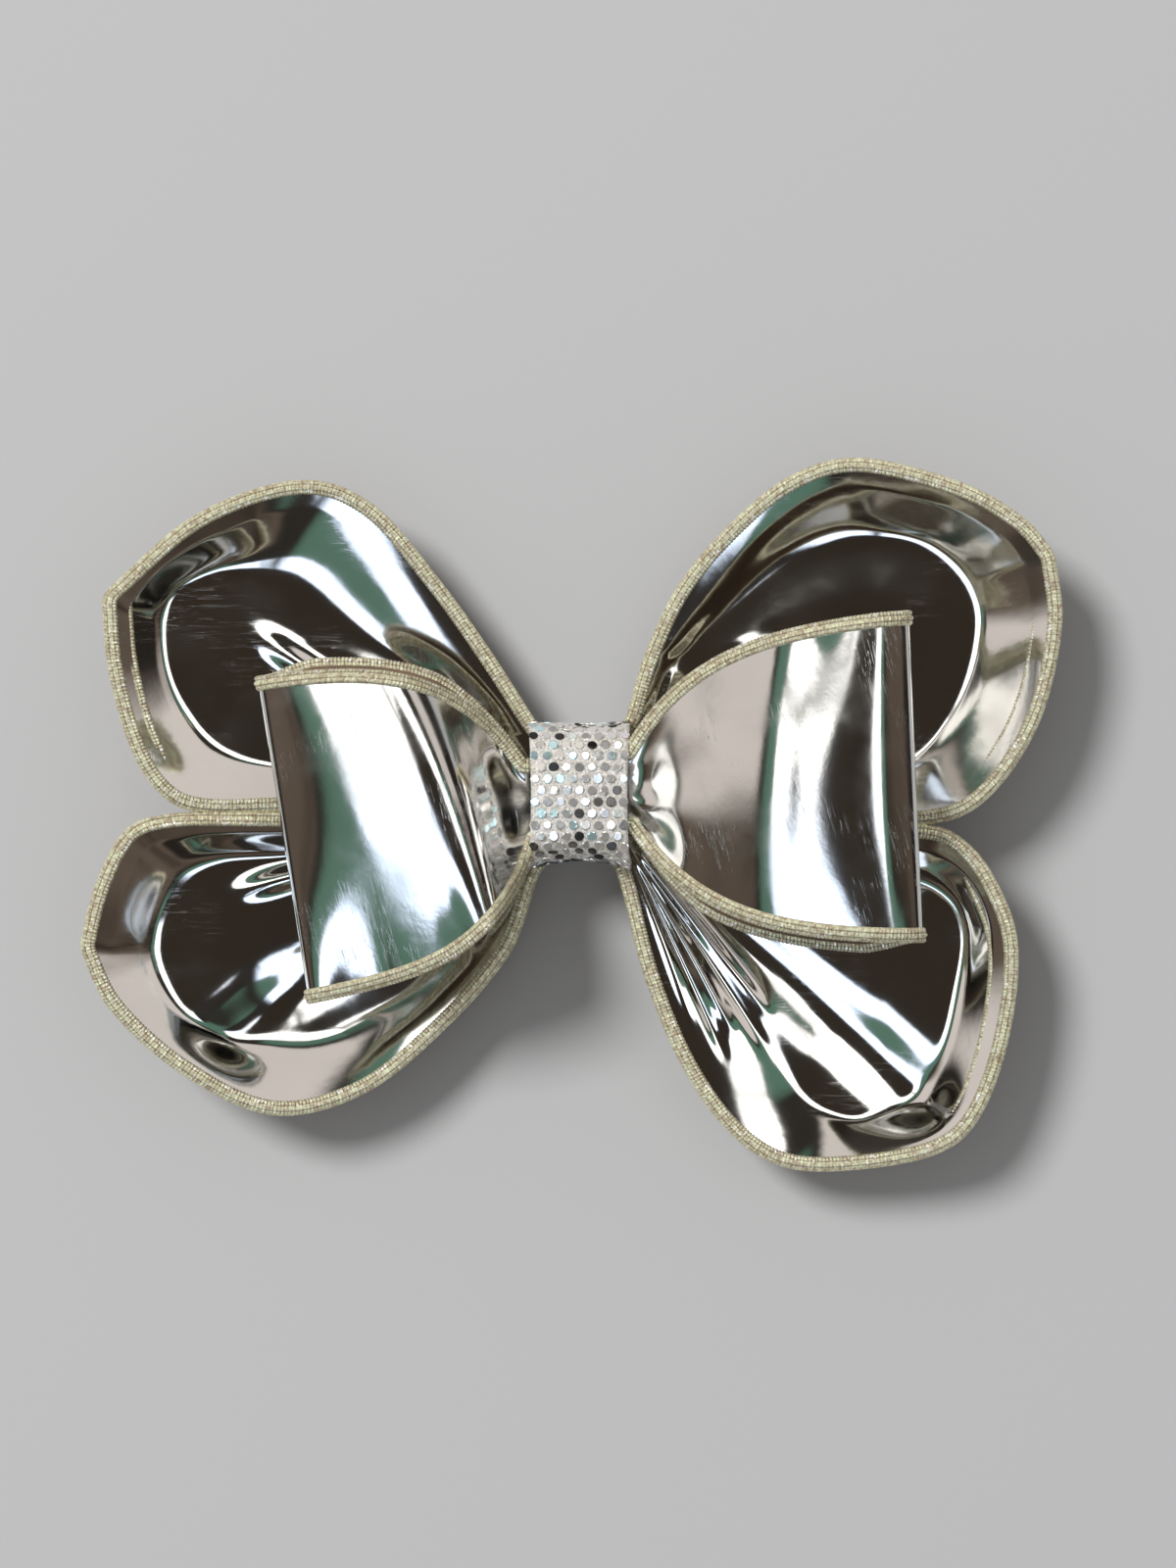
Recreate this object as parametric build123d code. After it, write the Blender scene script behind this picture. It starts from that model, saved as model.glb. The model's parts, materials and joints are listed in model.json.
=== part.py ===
"""Pre-made gift bow: two winged butterfly halves, a smaller two-loop bow on top, a wrapped centre band and
a self-adhesive pad. Millimetres, +Z up, +X to the right wing, origin under the release liner's centre."""

from build123d import *
from math import exp, radians, tan
import os

os.makedirs("parts", exist_ok=True)

# ---- Driving dimensions ----------------------------------------------------------------------------
wing_reach = 55.6          # centre of the bow to the far corner of a wing, along X
wing_rise = 39.0           # centre of the bow to the highest corner of a wing, along Y
ribbon_width = 38.0        # width of the small bow's ribbon, over its two corded edges
left_loop_length = 28.0    # small bow, from the flexing line to the fold
right_loop_length = 32.0
left_loop_turn = 9.0       # degrees that each loop is turned anticlockwise, seen from above
right_loop_turn = 2.5
left_loop_flare = 7.0      # length over which a small loop opens out to the ribbon's width
right_loop_flare = 9.0
left_loop_shift, right_loop_shift = -0.6, 0.8          # of the small loops' necks, along Y
loop_puff = 13.4           # height of a small loop's crown above its neck

sheet = 0.6                # mirror leatherette
cord_diameter = 1.8        # corded metallic edge
wire_diameter = 0.4        # shaping wire inside the corded edge
wire_clearance = 0.02
cord_clearance = 0.06      # between a sheet and the corded edge sewn to it
thread_diameter = 0.5
thread_turns = 5
thread_clearance = 0.02

dish_inset = 6.5           # how far the dish's floor lies inside its rim
rim_rise = 1.5             # rim of the wings at the neck, above the neck's middle
rim_climb = 0.10           # climb of the rim per mm away from the neck
floor_drop = 0.08          # fall of the floor per mm away from the neck
lining_gap = 1.3           # space from a face sheet to the lining behind it
rim_gap = 0.4              # between the lining's corded edge and the face's, in height
wall_steps = [(0.0, 0.0), (0.34, 0.5), (1.0, 1.0)]     # a dish's wall: shares of the inset and of the drop
neck_ease, shoulder_ease = 0.3, 0.75                   # shares of the inset at the neck and beside it
face_set_back = 2.6        # the faces stop this far from the lining's neck edge

band_width = 11.6          # centre band, along X
band_sheet = 0.9
band_half_height = 8.5     # half of the band's size along Y
band_crown_half = 5.5      # half of the narrower crown of the band
band_radii = (2.5, 4.0, 3.5)                           # at its foot, shoulder and crown

wing_bead = 2.4            # radius of the gathered end of a wing
loop_bead = 2.1            # radius of the gathered end of a small loop
flex_gap = 0.4             # between a gathered end and the band, waist or other gathered end
wing_neck_half = 6.6       # half width of a wing's gathered neck
loop_neck_half = 4.0       # half width of a small loop's gathered neck

pad_length, pad_width = 25.0, 12.0
foam_thickness = 1.5
card_thickness = 0.8
card_margin = 0.5
liner_thickness = 0.2
liner_tab = 4.0
pad_corner = 3.0
glue_length, glue_width, glue_thickness = 9.0, 11.0, 0.3

# ---- Heights that follow ---------------------------------------------------------------------------
foam_z = liner_thickness
card_z = foam_z + foam_thickness
glue_z = card_z + card_thickness
band_z = glue_z + glue_thickness
cavity_z = band_z + band_sheet
wing_z = cavity_z + flex_gap + wing_bead
loop_z = wing_z + wing_bead + 2 * flex_gap + loop_bead
band_top = loop_z + loop_bead + flex_gap + thread_diameter + band_sheet
flex_x = band_width / 2    # the sheets flex at the mouths of the band
cord_radius = cord_diameter / 2
neck_x = flex_x + wing_bead + 1.3
lining_drop = cord_diameter + rim_gap
neck_rise = rim_rise + rim_climb * (neck_x - flex_x)       # of the rims where the neck ends, above its middle
lining_rim = neck_rise - lining_drop - cord_radius - cord_clearance
floor_sink = 2 * sheet - lining_rim - lining_gap - floor_drop * (neck_x - flex_x)  # leaves the lining a wall
tongue_top = neck_rise - cord_radius - 2 * cord_clearance
tongue_foot = lining_rim - sheet                           # the tongue reaches down into the lining's wall

# ---- Wing outlines: corners from the knot, round the petal, as shares of the reach and of the rise --
# A corner is (share of reach, share of rise, radius). With no radius, it is rounded as far as it can be.
SHARP = 1.2
upper_left = [(0.307, 0.625), (0.44, 0.84), (0.585, 0.875), (0.79, 0.765), (0.962, 0.56, SHARP),
              (0.948, 0.35), (0.893, 0.13), (0.825, 0.0)]
lower_left = [(0.90, -0.09), (0.975, -0.30), (0.995, -0.435, SHARP), (0.93, -0.62), (0.785, -0.79),
              (0.63, -0.885, 3 * SHARP), (0.45, -0.835), (0.29, -0.655)]
upper_right = [(0.207, 0.61), (0.325, 0.80), (0.465, 0.915), (0.63, 0.92), (0.825, 0.82),
               (0.945, 0.66, SHARP), (0.952, 0.46), (0.90, 0.20), (0.805, 0.0)]
lower_right = [(0.80, -0.18), (0.865, -0.385), (0.86, -0.64), (0.805, -0.885), (0.725, -0.985, 3 * SHARP),
               (0.57, -1.03), (0.415, -1.02), (0.305, -0.915), (0.217, -0.715)]
left_valley, right_valley = -0.048, -0.078     # height of the valley between the petals, share of the rise
left_neck = (0.31, -0.44)                      # top and bottom of the wing where it meets the neck
right_neck = (0.37, -0.43)
valley_gap = 0.3                               # between the corded edges on each side of a valley

# ---- A small loop's side view: shares of its length and puff, and a radius where a corner is sharp ---
loop_section = [(0.09, 0.12, 0.6), (0.20, 0.46), (0.39, 0.85), (0.62, 1.0), (0.85, 0.85), (1.0, 0.5, 0.9),
                (0.76, 0.33), (0.38, 0.17), (0.09, -0.10, 0.6)]
neck_length_share = 0.14                       # of a loop's length, where its corded edges start
loop_plan_steps = 8


def place(side, corner):
    """A corner in millimetres with its own radius, or None where the corner is rounded freely."""
    x, y = side * wing_reach * corner[0], wing_rise * corner[1]
    return (x, y), (corner[2] if len(corner) > 2 else None)


def rim_z(x):
    return wing_z + rim_rise + rim_climb * (abs(x) - flex_x)


def floor_z(x):
    return wing_z - floor_sink - floor_drop * (abs(x) - flex_x)


def offset_corners(points, amounts):
    """The closed outline with each corner moved inwards by its amount, mitred; below zero it grows."""
    pairs = list(zip(points, points[1:] + points[:1]))
    area = sum(here[0] * after[1] - after[0] * here[1] for here, after in pairs)
    turn = 1 if area > 0 else -1
    moved = []
    for i, ((x, y), after) in enumerate(pairs):
        before = points[i - 1]
        a = Vector(x - before[0], y - before[1]).normalized()
        b = Vector(after[0] - x, after[1] - y).normalized()
        inward = (Vector(-a.Y, a.X) + Vector(-b.Y, b.X)) * turn
        mitre = inward.length / 2
        step = inward.normalized() * (amounts[i] / max(mitre, 0.5))
        moved.append((x + step.X, y + step.Y))
    return moved


def rounded(points, radii, height, close=True):
    """The outline through the corners, each rounded as far as its two sides allow. height(x) gives each
    corner's Z, and is linear in x, so the outline is flat."""
    spots = [Vector(x, y, height(x)) for x, y in points]
    n = len(spots)
    corners = range(n) if close else range(1, n - 1)
    kept = []
    for i in corners:
        before, after = spots[i] - spots[i - 1], spots[(i + 1) % n] - spots[i]
        half_turn = radians(before.get_angle(after)) / 2
        largest = 0.47 * min(before.length, after.length) / tan(half_turn)
        kept.append(min(largest, radii[i] or largest))
    return FilletPolyline(*spots, radius=kept, close=close)


def shell(points, radii, ease, rim, floor, inset, thickness):
    """A dish: a ruled skin from rim to floor, open at the top. ease scales the inset at each corner."""
    def skin(grow, lift, over):
        wires = []
        for across, down in wall_steps:
            amounts = [across * inset * e + grow for e in ease]
            raise_by = over if across == 0.0 else lift
            wires.append(rounded(offset_corners(points, amounts), radii,
                                 lambda x, d=down, r=raise_by: rim(x) * (1 - d) + floor(x) * d + r))
        return Solid.make_loft([Wire(w.edges()) for w in wires], ruled=True)
    return skin(0.0, 0.0, 0.0) - skin(thickness, thickness, 0.01)


def tube(path, diameter, bore=0.0):
    """A cord along a path, hollow if it has a bore."""
    start = Plane(path @ 0, z_dir=path % 0)
    section = Circle(diameter / 2) - Circle(bore / 2) if bore else Circle(diameter / 2)
    return sweep(start * section, path=path)


parts = {}


def make_wing(name, side, upper, lower, valley_share, neck):
    """One wing: two dished faces and one lining, each with a corded, wired edge, and the gathered neck."""
    valley = wing_rise * valley_share
    half_valley = cord_radius + valley_gap / 2
    top_neck, low_neck = wing_rise * neck[0], wing_rise * neck[1]
    start = side * neck_x

    def outline(corners, outer_y, valley_y, from_knot):
        """The petal's closed outline; its two neck corners come last."""
        spots, radii = zip(*[place(side, c) for c in corners])
        spots, radii = list(spots), list(radii)
        # The valley side runs along the valley, clear of the other petal's edge.
        spots = [(x, max(y, valley_y) if outer_y > valley_y else min(y, valley_y)) for x, y in spots]
        ends = [(start, outer_y), (start, valley_y)]
        if from_knot:
            return ends[:1] + spots + ends[1:], [None] + radii + [None]
        return ends[1:] + spots + ends[:1], [None] + radii + [None]

    petals = {
        "upper": outline(upper, top_neck, valley + half_valley, True),
        "lower": outline(lower, low_neck, valley - half_valley, False),
    }
    for which, (spots, radii) in petals.items():
        ease = [neck_ease, shoulder_ease] + [1.0] * (len(spots) - 4) + [shoulder_ease, neck_ease]
        inner = [(x + side * face_set_back if abs(x) <= neck_x else x, y) for x, y in spots]
        face_rim = lambda x: rim_z(x) - cord_radius - cord_clearance
        parts[f"{name}_{which}_face"] = shell(inner, radii, ease, face_rim, floor_z, dish_inset, sheet)
        edge = rounded(spots, radii, rim_z, close=False)
        parts[f"{name}_{which}_face_edge"] = tube(edge, cord_diameter, wire_diameter + 2 * wire_clearance)
        parts[f"{name}_{which}_face_wire"] = tube(edge, wire_diameter)

    # The lining is one piece behind both petals, with a notch where they part.
    (up, up_radii), (low, low_radii) = petals["upper"], petals["lower"]
    notch = [(0.5 * (up[-2][0] + low[1][0]), valley)]
    spots = up[:-2] + notch + low[2:]
    radii = up_radii[:-2] + [SHARP] + low_radii[2:]
    grown = offset_corners(spots, [-lining_gap] * len(spots))
    grown[0], grown[-1] = (start, grown[0][1]), (start, grown[-1][1])
    ease = [neck_ease, shoulder_ease] + [1.0] * (len(spots) - 4) + [shoulder_ease, neck_ease]
    body = shell(grown, radii, ease, lambda x: rim_z(x) - lining_drop - cord_radius - cord_clearance,
                 lambda x: floor_z(x) - lining_gap, dish_inset - lining_gap, sheet)
    edge = rounded(grown, radii, lambda x: rim_z(x) - lining_drop, close=False)
    parts[f"{name}_lining_edge"] = tube(edge, cord_diameter, wire_diameter + 2 * wire_clearance)
    parts[f"{name}_lining_wire"] = tube(edge, wire_diameter)

    # Gathered neck: a round end in the band's mouth, and a tongue that opens out to the two petals.
    bead = Pos(side * flex_x, 0, wing_z) * Rot(90, 0, 0) * Cylinder(wing_bead, 2 * wing_neck_half)
    mouth, far = side * (flex_x + flex_gap), start + side * cord_radius
    plan = Polyline((side * flex_x, wing_neck_half), (mouth, wing_neck_half),
                    (far, grown[0][1] - 2 * cord_diameter), (far, grown[-1][1] + 2 * cord_diameter),
                    (mouth, -wing_neck_half), (side * flex_x, -wing_neck_half), close=True)
    tongue = extrude(Pos(0, 0, wing_z + tongue_foot) * make_face(plan.edges()),
                     amount=tongue_top - tongue_foot, dir=(0, 0, 1))
    parts[f"{name}_lining"] = body + tongue + bead


def make_loop(name, side, length, turn, flare, shift):
    """One loop of the small bow, in a frame whose X runs from the flexing line to the fold."""
    def half_width(s):
        return loop_neck_half + (ribbon_width / 2 - loop_neck_half) * (1 - exp(-max(s, 0.0) / flare))

    spots = [(length * corner[0], loop_puff * corner[1]) for corner in loop_section]
    radii = [corner[2] if len(corner) > 2 else None for corner in loop_section]

    def ring(thickness):
        outline = rounded(spots, radii, lambda x: 0.0)
        middle = make_face(outline.edges())
        grown = offset(middle, amount=thickness / 2, kind=Kind.ARC)
        return grown - offset(middle, amount=-thickness / 2, kind=Kind.INTERSECTION)

    def band_of(thickness):
        upright = Plane(origin=(0, ribbon_width, 0), x_dir=(1, 0, 0), z_dir=(0, -1, 0))
        return extrude(upright * ring(thickness), amount=2 * ribbon_width)

    def between(near_line, far_line, first):
        """A tall block whose plan lies between two lines, each given as a function of s."""
        run = length + cord_diameter - first
        steps = [first + run * k / loop_plan_steps for k in range(loop_plan_steps + 1)]
        near = [(s, near_line(s)) for s in steps]
        far = [(s, far_line(s)) for s in reversed(steps)]
        edges = Spline(*near) + Spline(*far) + Line(near[-1], far[0]) + Line(far[-1], near[0])
        plan = Pos(0, 0, -2 * loop_puff) * make_face(edges.edges())
        return extrude(plan, amount=5 * loop_puff, dir=(0, 0, 1))

    def strip(inset, width, end):
        """The block over a strip of this width, whose middle runs inside the ribbon's outer edge."""
        return between(lambda s: end * (half_width(s) - inset - width / 2),
                       lambda s: end * (half_width(s) - inset + width / 2), start)

    start = neck_length_share * length
    inner_plan = between(lambda s: half_width(s) - cord_diameter - cord_clearance,
                         lambda s: cord_diameter + cord_clearance - half_width(s), -cord_radius)
    bead_length = 2 * (loop_neck_half - flex_gap / 2)
    bead = Rot(90, 0, 0) * Cylinder(loop_bead, bead_length)
    neck = Pos(start / 2, 0, 0) * Box(start, bead_length, 1.5 * loop_bead)
    ribbon = (band_of(sheet) & inner_plan) + (neck & inner_plan)
    hinge = Pos(side * flex_x, shift, loop_z)
    spot = hinge * Rot(0, 0, turn if side > 0 else 180 + turn)
    parts[f"{name}_ribbon"] = spot * ribbon + hinge * bead
    for end in (1, -1):
        label = "upper" if end == side else "lower"
        wire = band_of(wire_diameter) & strip(cord_radius, wire_diameter, end)
        hole_size = wire_diameter + 2 * wire_clearance
        hole = band_of(hole_size) & strip(cord_radius, hole_size, end)
        edge = (band_of(cord_diameter) & strip(cord_radius, cord_diameter, end)) - hole
        parts[f"{name}_{label}_edge"] = spot * edge
        parts[f"{name}_{label}_wire"] = spot * wire


def make_knot():
    """The band, the two waists bound with thread, and the pad under them."""
    corners = [(-band_half_height, band_z), (band_half_height, band_z),
               (band_half_height, loop_z - loop_bead), (band_crown_half, band_top),
               (-band_crown_half, band_top), (-band_half_height, loop_z - loop_bead)]
    foot, shoulder, crown = band_radii
    outline = FilletPolyline(*corners, radius=[foot, foot, shoulder, crown, crown, shoulder], close=True)
    outer = make_face(outline.edges())
    ring = outer - offset(outer, amount=-band_sheet, kind=Kind.INTERSECTION)
    across = Plane(origin=(-flex_x, 0, 0), x_dir=(0, 1, 0), z_dir=(1, 0, 0))
    parts["centre_band"] = extrude(across * ring, amount=band_width)

    winding = thread_turns * thread_diameter

    def waist(name, z, radius, half_width):
        """The gathered middle of one bow, and the thread wound round it."""
        length = 2 * (flex_x - radius - flex_gap)
        height = 2 * (radius + flex_gap - thread_diameter - 2 * thread_clearance)
        width = 2 * (half_width - thread_diameter)
        corner = 0.45 * height
        block = Pos(0, 0, z) * Box(length, width, height)
        block = fillet(block.edges().filter_by(Axis.X), radius=corner)
        grow = thread_diameter / 2 + thread_clearance
        rings = []
        for turn in range(thread_turns):
            x = (turn + 0.5) * thread_diameter - winding / 2
            loop = RectangleRounded(width + 2 * grow, height + 2 * grow, corner + grow)
            path = Wire((Plane(origin=(x, 0, z), x_dir=(0, 1, 0), z_dir=(1, 0, 0)) * loop).edges())
            section = Circle(thread_diameter / 2 - thread_clearance)
            rings.append(sweep(Plane(path @ 0, z_dir=path % 0) * section, path=path))
        parts[f"{name}_waist"] = block
        parts[f"{name}_binding_thread"] = Compound(children=[r.solid() for r in rings])

    waist("wing", wing_z, wing_bead, wing_neck_half)
    waist("small_bow", loop_z, loop_bead, loop_neck_half)

    def slab(length, width, z, thickness):
        return extrude(Pos(0, 0, z) * RectangleRounded(length, width, pad_corner), amount=thickness)

    parts["glue_layer"] = slab(glue_length, glue_width, glue_z, glue_thickness)

    full_length, full_width = pad_length + 2 * card_margin, pad_width + 2 * card_margin
    parts["backing_card"] = slab(full_length, full_width, card_z, card_thickness)
    parts["foam_pad"] = slab(pad_length, pad_width, foam_z, foam_thickness)
    tab = Pos(full_length / 2 + liner_tab / 2 - pad_corner, 0) * RectangleRounded(
        liner_tab + 2 * pad_corner, 0.6 * full_width, 0.8 * pad_corner)
    parts["release_liner"] = extrude(RectangleRounded(full_length, full_width, pad_corner) + tab,
                                     amount=liner_thickness)


make_wing("left", -1, upper_left, lower_left, left_valley, left_neck)
make_wing("right", 1, upper_right, lower_right, right_valley, right_neck)
make_loop("left_loop", -1, left_loop_length, left_loop_turn, left_loop_flare, left_loop_shift)
make_loop("right_loop", 1, right_loop_length, right_loop_turn, right_loop_flare, right_loop_shift)
make_knot()

for node, shape in parts.items():
    export_step(shape, f"parts/{node}.step")
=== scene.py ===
"""Looks of the pre-made gift bow: mirror leatherette petals and loops, corded edges, dotted centre band."""

import json
import math

import bmesh
import bpy
import numpy as np
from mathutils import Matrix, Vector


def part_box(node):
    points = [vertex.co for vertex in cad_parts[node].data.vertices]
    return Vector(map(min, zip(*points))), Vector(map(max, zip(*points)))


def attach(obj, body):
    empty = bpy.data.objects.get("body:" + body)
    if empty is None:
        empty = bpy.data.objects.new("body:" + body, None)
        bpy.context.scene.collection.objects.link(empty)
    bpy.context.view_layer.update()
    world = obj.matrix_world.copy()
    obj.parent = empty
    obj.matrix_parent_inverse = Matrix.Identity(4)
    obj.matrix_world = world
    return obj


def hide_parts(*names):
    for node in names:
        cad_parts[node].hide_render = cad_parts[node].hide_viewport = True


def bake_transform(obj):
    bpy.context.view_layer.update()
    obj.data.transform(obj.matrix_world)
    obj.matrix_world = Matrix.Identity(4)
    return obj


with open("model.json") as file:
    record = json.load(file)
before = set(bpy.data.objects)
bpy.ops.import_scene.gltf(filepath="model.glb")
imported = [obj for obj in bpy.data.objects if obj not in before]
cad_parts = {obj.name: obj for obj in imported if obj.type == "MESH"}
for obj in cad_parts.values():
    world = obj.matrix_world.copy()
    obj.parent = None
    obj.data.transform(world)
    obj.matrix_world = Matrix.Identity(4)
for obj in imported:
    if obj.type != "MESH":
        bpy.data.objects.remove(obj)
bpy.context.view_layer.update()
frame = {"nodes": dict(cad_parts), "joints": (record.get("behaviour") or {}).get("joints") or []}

bl_info = {
    "name": "Pre-made gift bow",
    "version": (1, 0, 0),
    "blender": (4, 5, 0),
    "location": "3D View > Sidebar > Gift bow",
    "description": "Builds a gift bow of mirror leatherette around its CAD frame",
    "category": "Object",
}

MM = 0.001
RANDOM_SEED = 7


# ---- What the frame gives, in millimetres -----------------------------------------------------------

def joint(name):
    """The point of a joint, in millimetres."""
    found = next(j for j in frame["joints"] if j["name"] == name)
    return np.array(found["pos_m"]) / MM


def box_mm(node):
    low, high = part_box(node)
    return np.array(low) / MM, np.array(high) / MM


FLEX_X = joint("right_wing_tilt")[0]
WING_Z = joint("right_wing_tilt")[2]
LOOP_Z = joint("right_loop_tilt")[2]
REACH = (box_mm("right_lining_edge")[1][0] - box_mm("left_lining_edge")[0][0]) / 2 / 1.02
RISE = (box_mm("right_lining_edge")[1][1] - box_mm("right_lining_edge")[0][1]) / 2 / 1.018
BAND_LOW, BAND_HIGH = box_mm("centre_band")


# ---- Sizes and colours that a user would change -----------------------------------------------------

def length(name, description, default_mm):
    return bpy.props.FloatProperty(
        name=name, description=description, default=default_mm * MM, unit="LENGTH", precision=5)


def colour(name, description, default):
    return bpy.props.FloatVectorProperty(
        name=name, description=description, default=default, subtype="COLOR", min=0.0, max=1.0)


class BowSizes(bpy.types.PropertyGroup):
    sheet: length("Leatherette", "Thickness of the mirror leatherette", 0.45)
    cord_width: length("Cord width", "Width of the corded metallic edge, seen from above", 1.75)
    cord_height: length("Cord height", "Thickness of the corded metallic edge", 1.1)
    stitch: length("Stitch", "Spacing of the thread wraps along the corded edge", 0.42)
    wire: length("Wire", "Diameter of the shaping wire inside the corded edge", 0.4)
    strip: length("Rim strip", "Width of the flared strip inside the rim", 2.4)
    dot: length("Dot", "Diameter of one dot on the centre band", 1.12)
    dot_pitch: length("Dot spacing", "Spacing of the dots on the centre band", 1.50)


class BowColours(bpy.types.PropertyGroup):
    mirror: colour("Mirror film", "Colour of the mirror film", (0.80, 0.79, 0.77))
    backing: colour("Backing", "Colour of the leatherette's reverse", (0.20, 0.135, 0.085))
    cord: colour("Cord", "Colour of the metallic thread", (0.98, 0.77, 0.53))
    # The flecks' colour is a painted glint on the metallic thread.
    cord_light: colour("Cord flecks", "Colour of the thread's brightest flecks", (1.0, 0.95, 0.86))
    band: colour("Band", "Colour of the centre band between its dots", (0.80, 0.75, 0.68))
    foam: colour("Foam", "Colour of the foam pad", (0.86, 0.86, 0.84))


# ---- Shapes -----------------------------------------------------------------------------------------

def smooth(t):
    t = np.clip(t, 0.0, 1.0)
    return t * t * (3 - 2 * t)


def measured(points):
    """Distance along a line of points."""
    steps = np.linalg.norm(np.diff(points, axis=0), axis=1)
    return np.concatenate([[0.0], np.cumsum(steps)])


def resample(points, count):
    """The same line with evenly spaced points."""
    along = measured(points)
    where = np.linspace(0.0, along[-1], count)
    return np.stack([np.interp(where, along, points[:, k]) for k in range(points.shape[1])], axis=1)


def curve_through(corners, count, corner_radius=0.7):
    """A smooth line through the corners. One that ends in True stays sharp, apart from a small radius."""
    points = np.array([c[:2] for c in corners], float)
    sharp = [0] + [i for i, c in enumerate(corners) if len(c) > 2] + [len(corners) - 1]
    pieces = []
    for a, b in zip(sharp[:-1], sharp[1:]):
        part = points[a:b + 1]
        padded = np.vstack([2 * part[0] - part[1], part, 2 * part[-1] - part[-2]])
        for i in range(1, len(padded) - 2):
            p0, p1, p2, p3 = padded[i - 1:i + 3]
            t = np.linspace(0.0, 1.0, 24, endpoint=False)[:, None]
            pieces.append(0.5 * (2 * p1 + (p2 - p0) * t + (2 * p0 - 5 * p1 + 4 * p2 - p3) * t ** 2
                                 + (3 * p1 - p0 - 3 * p2 + p3) * t ** 3))
    line = resample(np.vstack(pieces + [points[-1:]]), count)
    reach = max(1, int(round(corner_radius / (measured(line)[-1] / count))))
    window = np.hanning(2 * reach + 3)[1:-1]
    window /= window.sum()
    ends = np.vstack([np.repeat(line[:1], reach, 0), line, np.repeat(line[-1:], reach, 0)])
    rounded = np.stack([np.convolve(ends[:, k], window, "valid") for k in range(line.shape[1])], axis=1)
    rounded[0], rounded[-1] = line[0], line[-1]
    return rounded


def distance_to_line(xy, line):
    """Distance of each point from the nearest span of the line."""
    a, b = line[:-1], line[1:]
    span = b - a
    square = (span ** 2).sum(1) + 1e-12
    best = np.full(len(xy), 1e9)
    for k in range(0, len(xy), 4000):
        p = xy[k:k + 4000, None, :]
        t = np.clip(((p - a) * span).sum(2) / square, 0.0, 1.0)
        gap = np.linalg.norm(p - (a + t[:, :, None] * span), axis=2)
        best[k:k + 4000] = gap.min(1)
    return best


def outward(line):
    """Unit normals of a plan line, to its left."""
    along = np.gradient(line[:, :2], axis=0)
    along /= np.linalg.norm(along, axis=1)[:, None] + 1e-12
    return np.stack([-along[:, 1], along[:, 0]], axis=1)


def new_object(name, vertices_mm, faces, uv=None, smooth_faces=True):
    """A mesh object at the origin, its vertices given in millimetres. uv gives (u, v) for each vertex."""
    mesh = bpy.data.meshes.new(name)
    mesh.from_pydata((np.asarray(vertices_mm) * MM).tolist(), [], [list(map(int, f)) for f in faces])
    mesh.update()
    if uv is not None:
        layer = mesh.uv_layers.new(name="UVMap")
        corners = np.zeros(len(mesh.loops), int)
        mesh.loops.foreach_get("vertex_index", corners)
        layer.data.foreach_set("uv", np.asarray(uv, float)[corners].ravel())
    if smooth_faces:
        mesh.shade_smooth()
    obj = bpy.data.objects.new(name, mesh)
    bpy.context.scene.collection.objects.link(obj)
    return obj


def point_outwards(obj):
    """Makes the faces of a closed mesh point outwards."""
    work = bmesh.new()
    work.from_mesh(obj.data)
    bmesh.ops.recalc_face_normals(work, faces=work.faces)
    work.to_mesh(obj.data)
    work.free()
    return obj


def sheet_object(name, points, quads, thickness):
    """A sheet of this thickness under the given surface, closed all round. Its underside and its cut edges
    take the second material."""
    count = len(points)
    triangles = np.array([[q[0], q[1], q[2]] for q in quads])
    normals = np.zeros_like(points)
    face_normals = np.cross(points[triangles[:, 1]] - points[triangles[:, 0]],
                            points[triangles[:, 2]] - points[triangles[:, 0]])
    for k in range(len(quads[0])):
        corner = np.array([q[k] if k < len(q) else q[-1] for q in quads])
        np.add.at(normals, corner, face_normals)
    normals /= np.linalg.norm(normals, axis=1)[:, None] + 1e-12
    under = points - normals * thickness
    edges = {}
    for q in quads:
        for a, b in zip(q, q[1:] + q[:1]):
            edges[(a, b)] = edges.get((a, b), 0) + 1
    rim = [(a, b) for (a, b) in edges if (b, a) not in edges]
    faces = [list(q) for q in quads]
    faces += [[count + i for i in reversed(q)] for q in quads]
    faces += [[b, a, count + a, count + b] for a, b in rim]
    obj = new_object(name, np.vstack([points, under]), faces)
    index = np.ones(len(faces), int)
    index[:len(quads)] = 0
    obj.data.materials.append(None)
    obj.data.materials.append(None)
    obj.data.polygons.foreach_set("material_index", index)
    return obj


def dress(obj, *materials):
    """Puts the materials in the object's slots, in order."""
    slots = obj.data.materials
    while len(slots) < len(materials):
        slots.append(None)
    for i, material in enumerate(materials):
        slots[i] = material
    return obj


CORD_SIDES, ROWS_PER_STITCH = 16, 5        # of a corded edge's mesh
GROOVE_AT, GROOVE_WIDTH = 0.38, 0.15       # of the grooves between its strands, as shares of its half width


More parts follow.
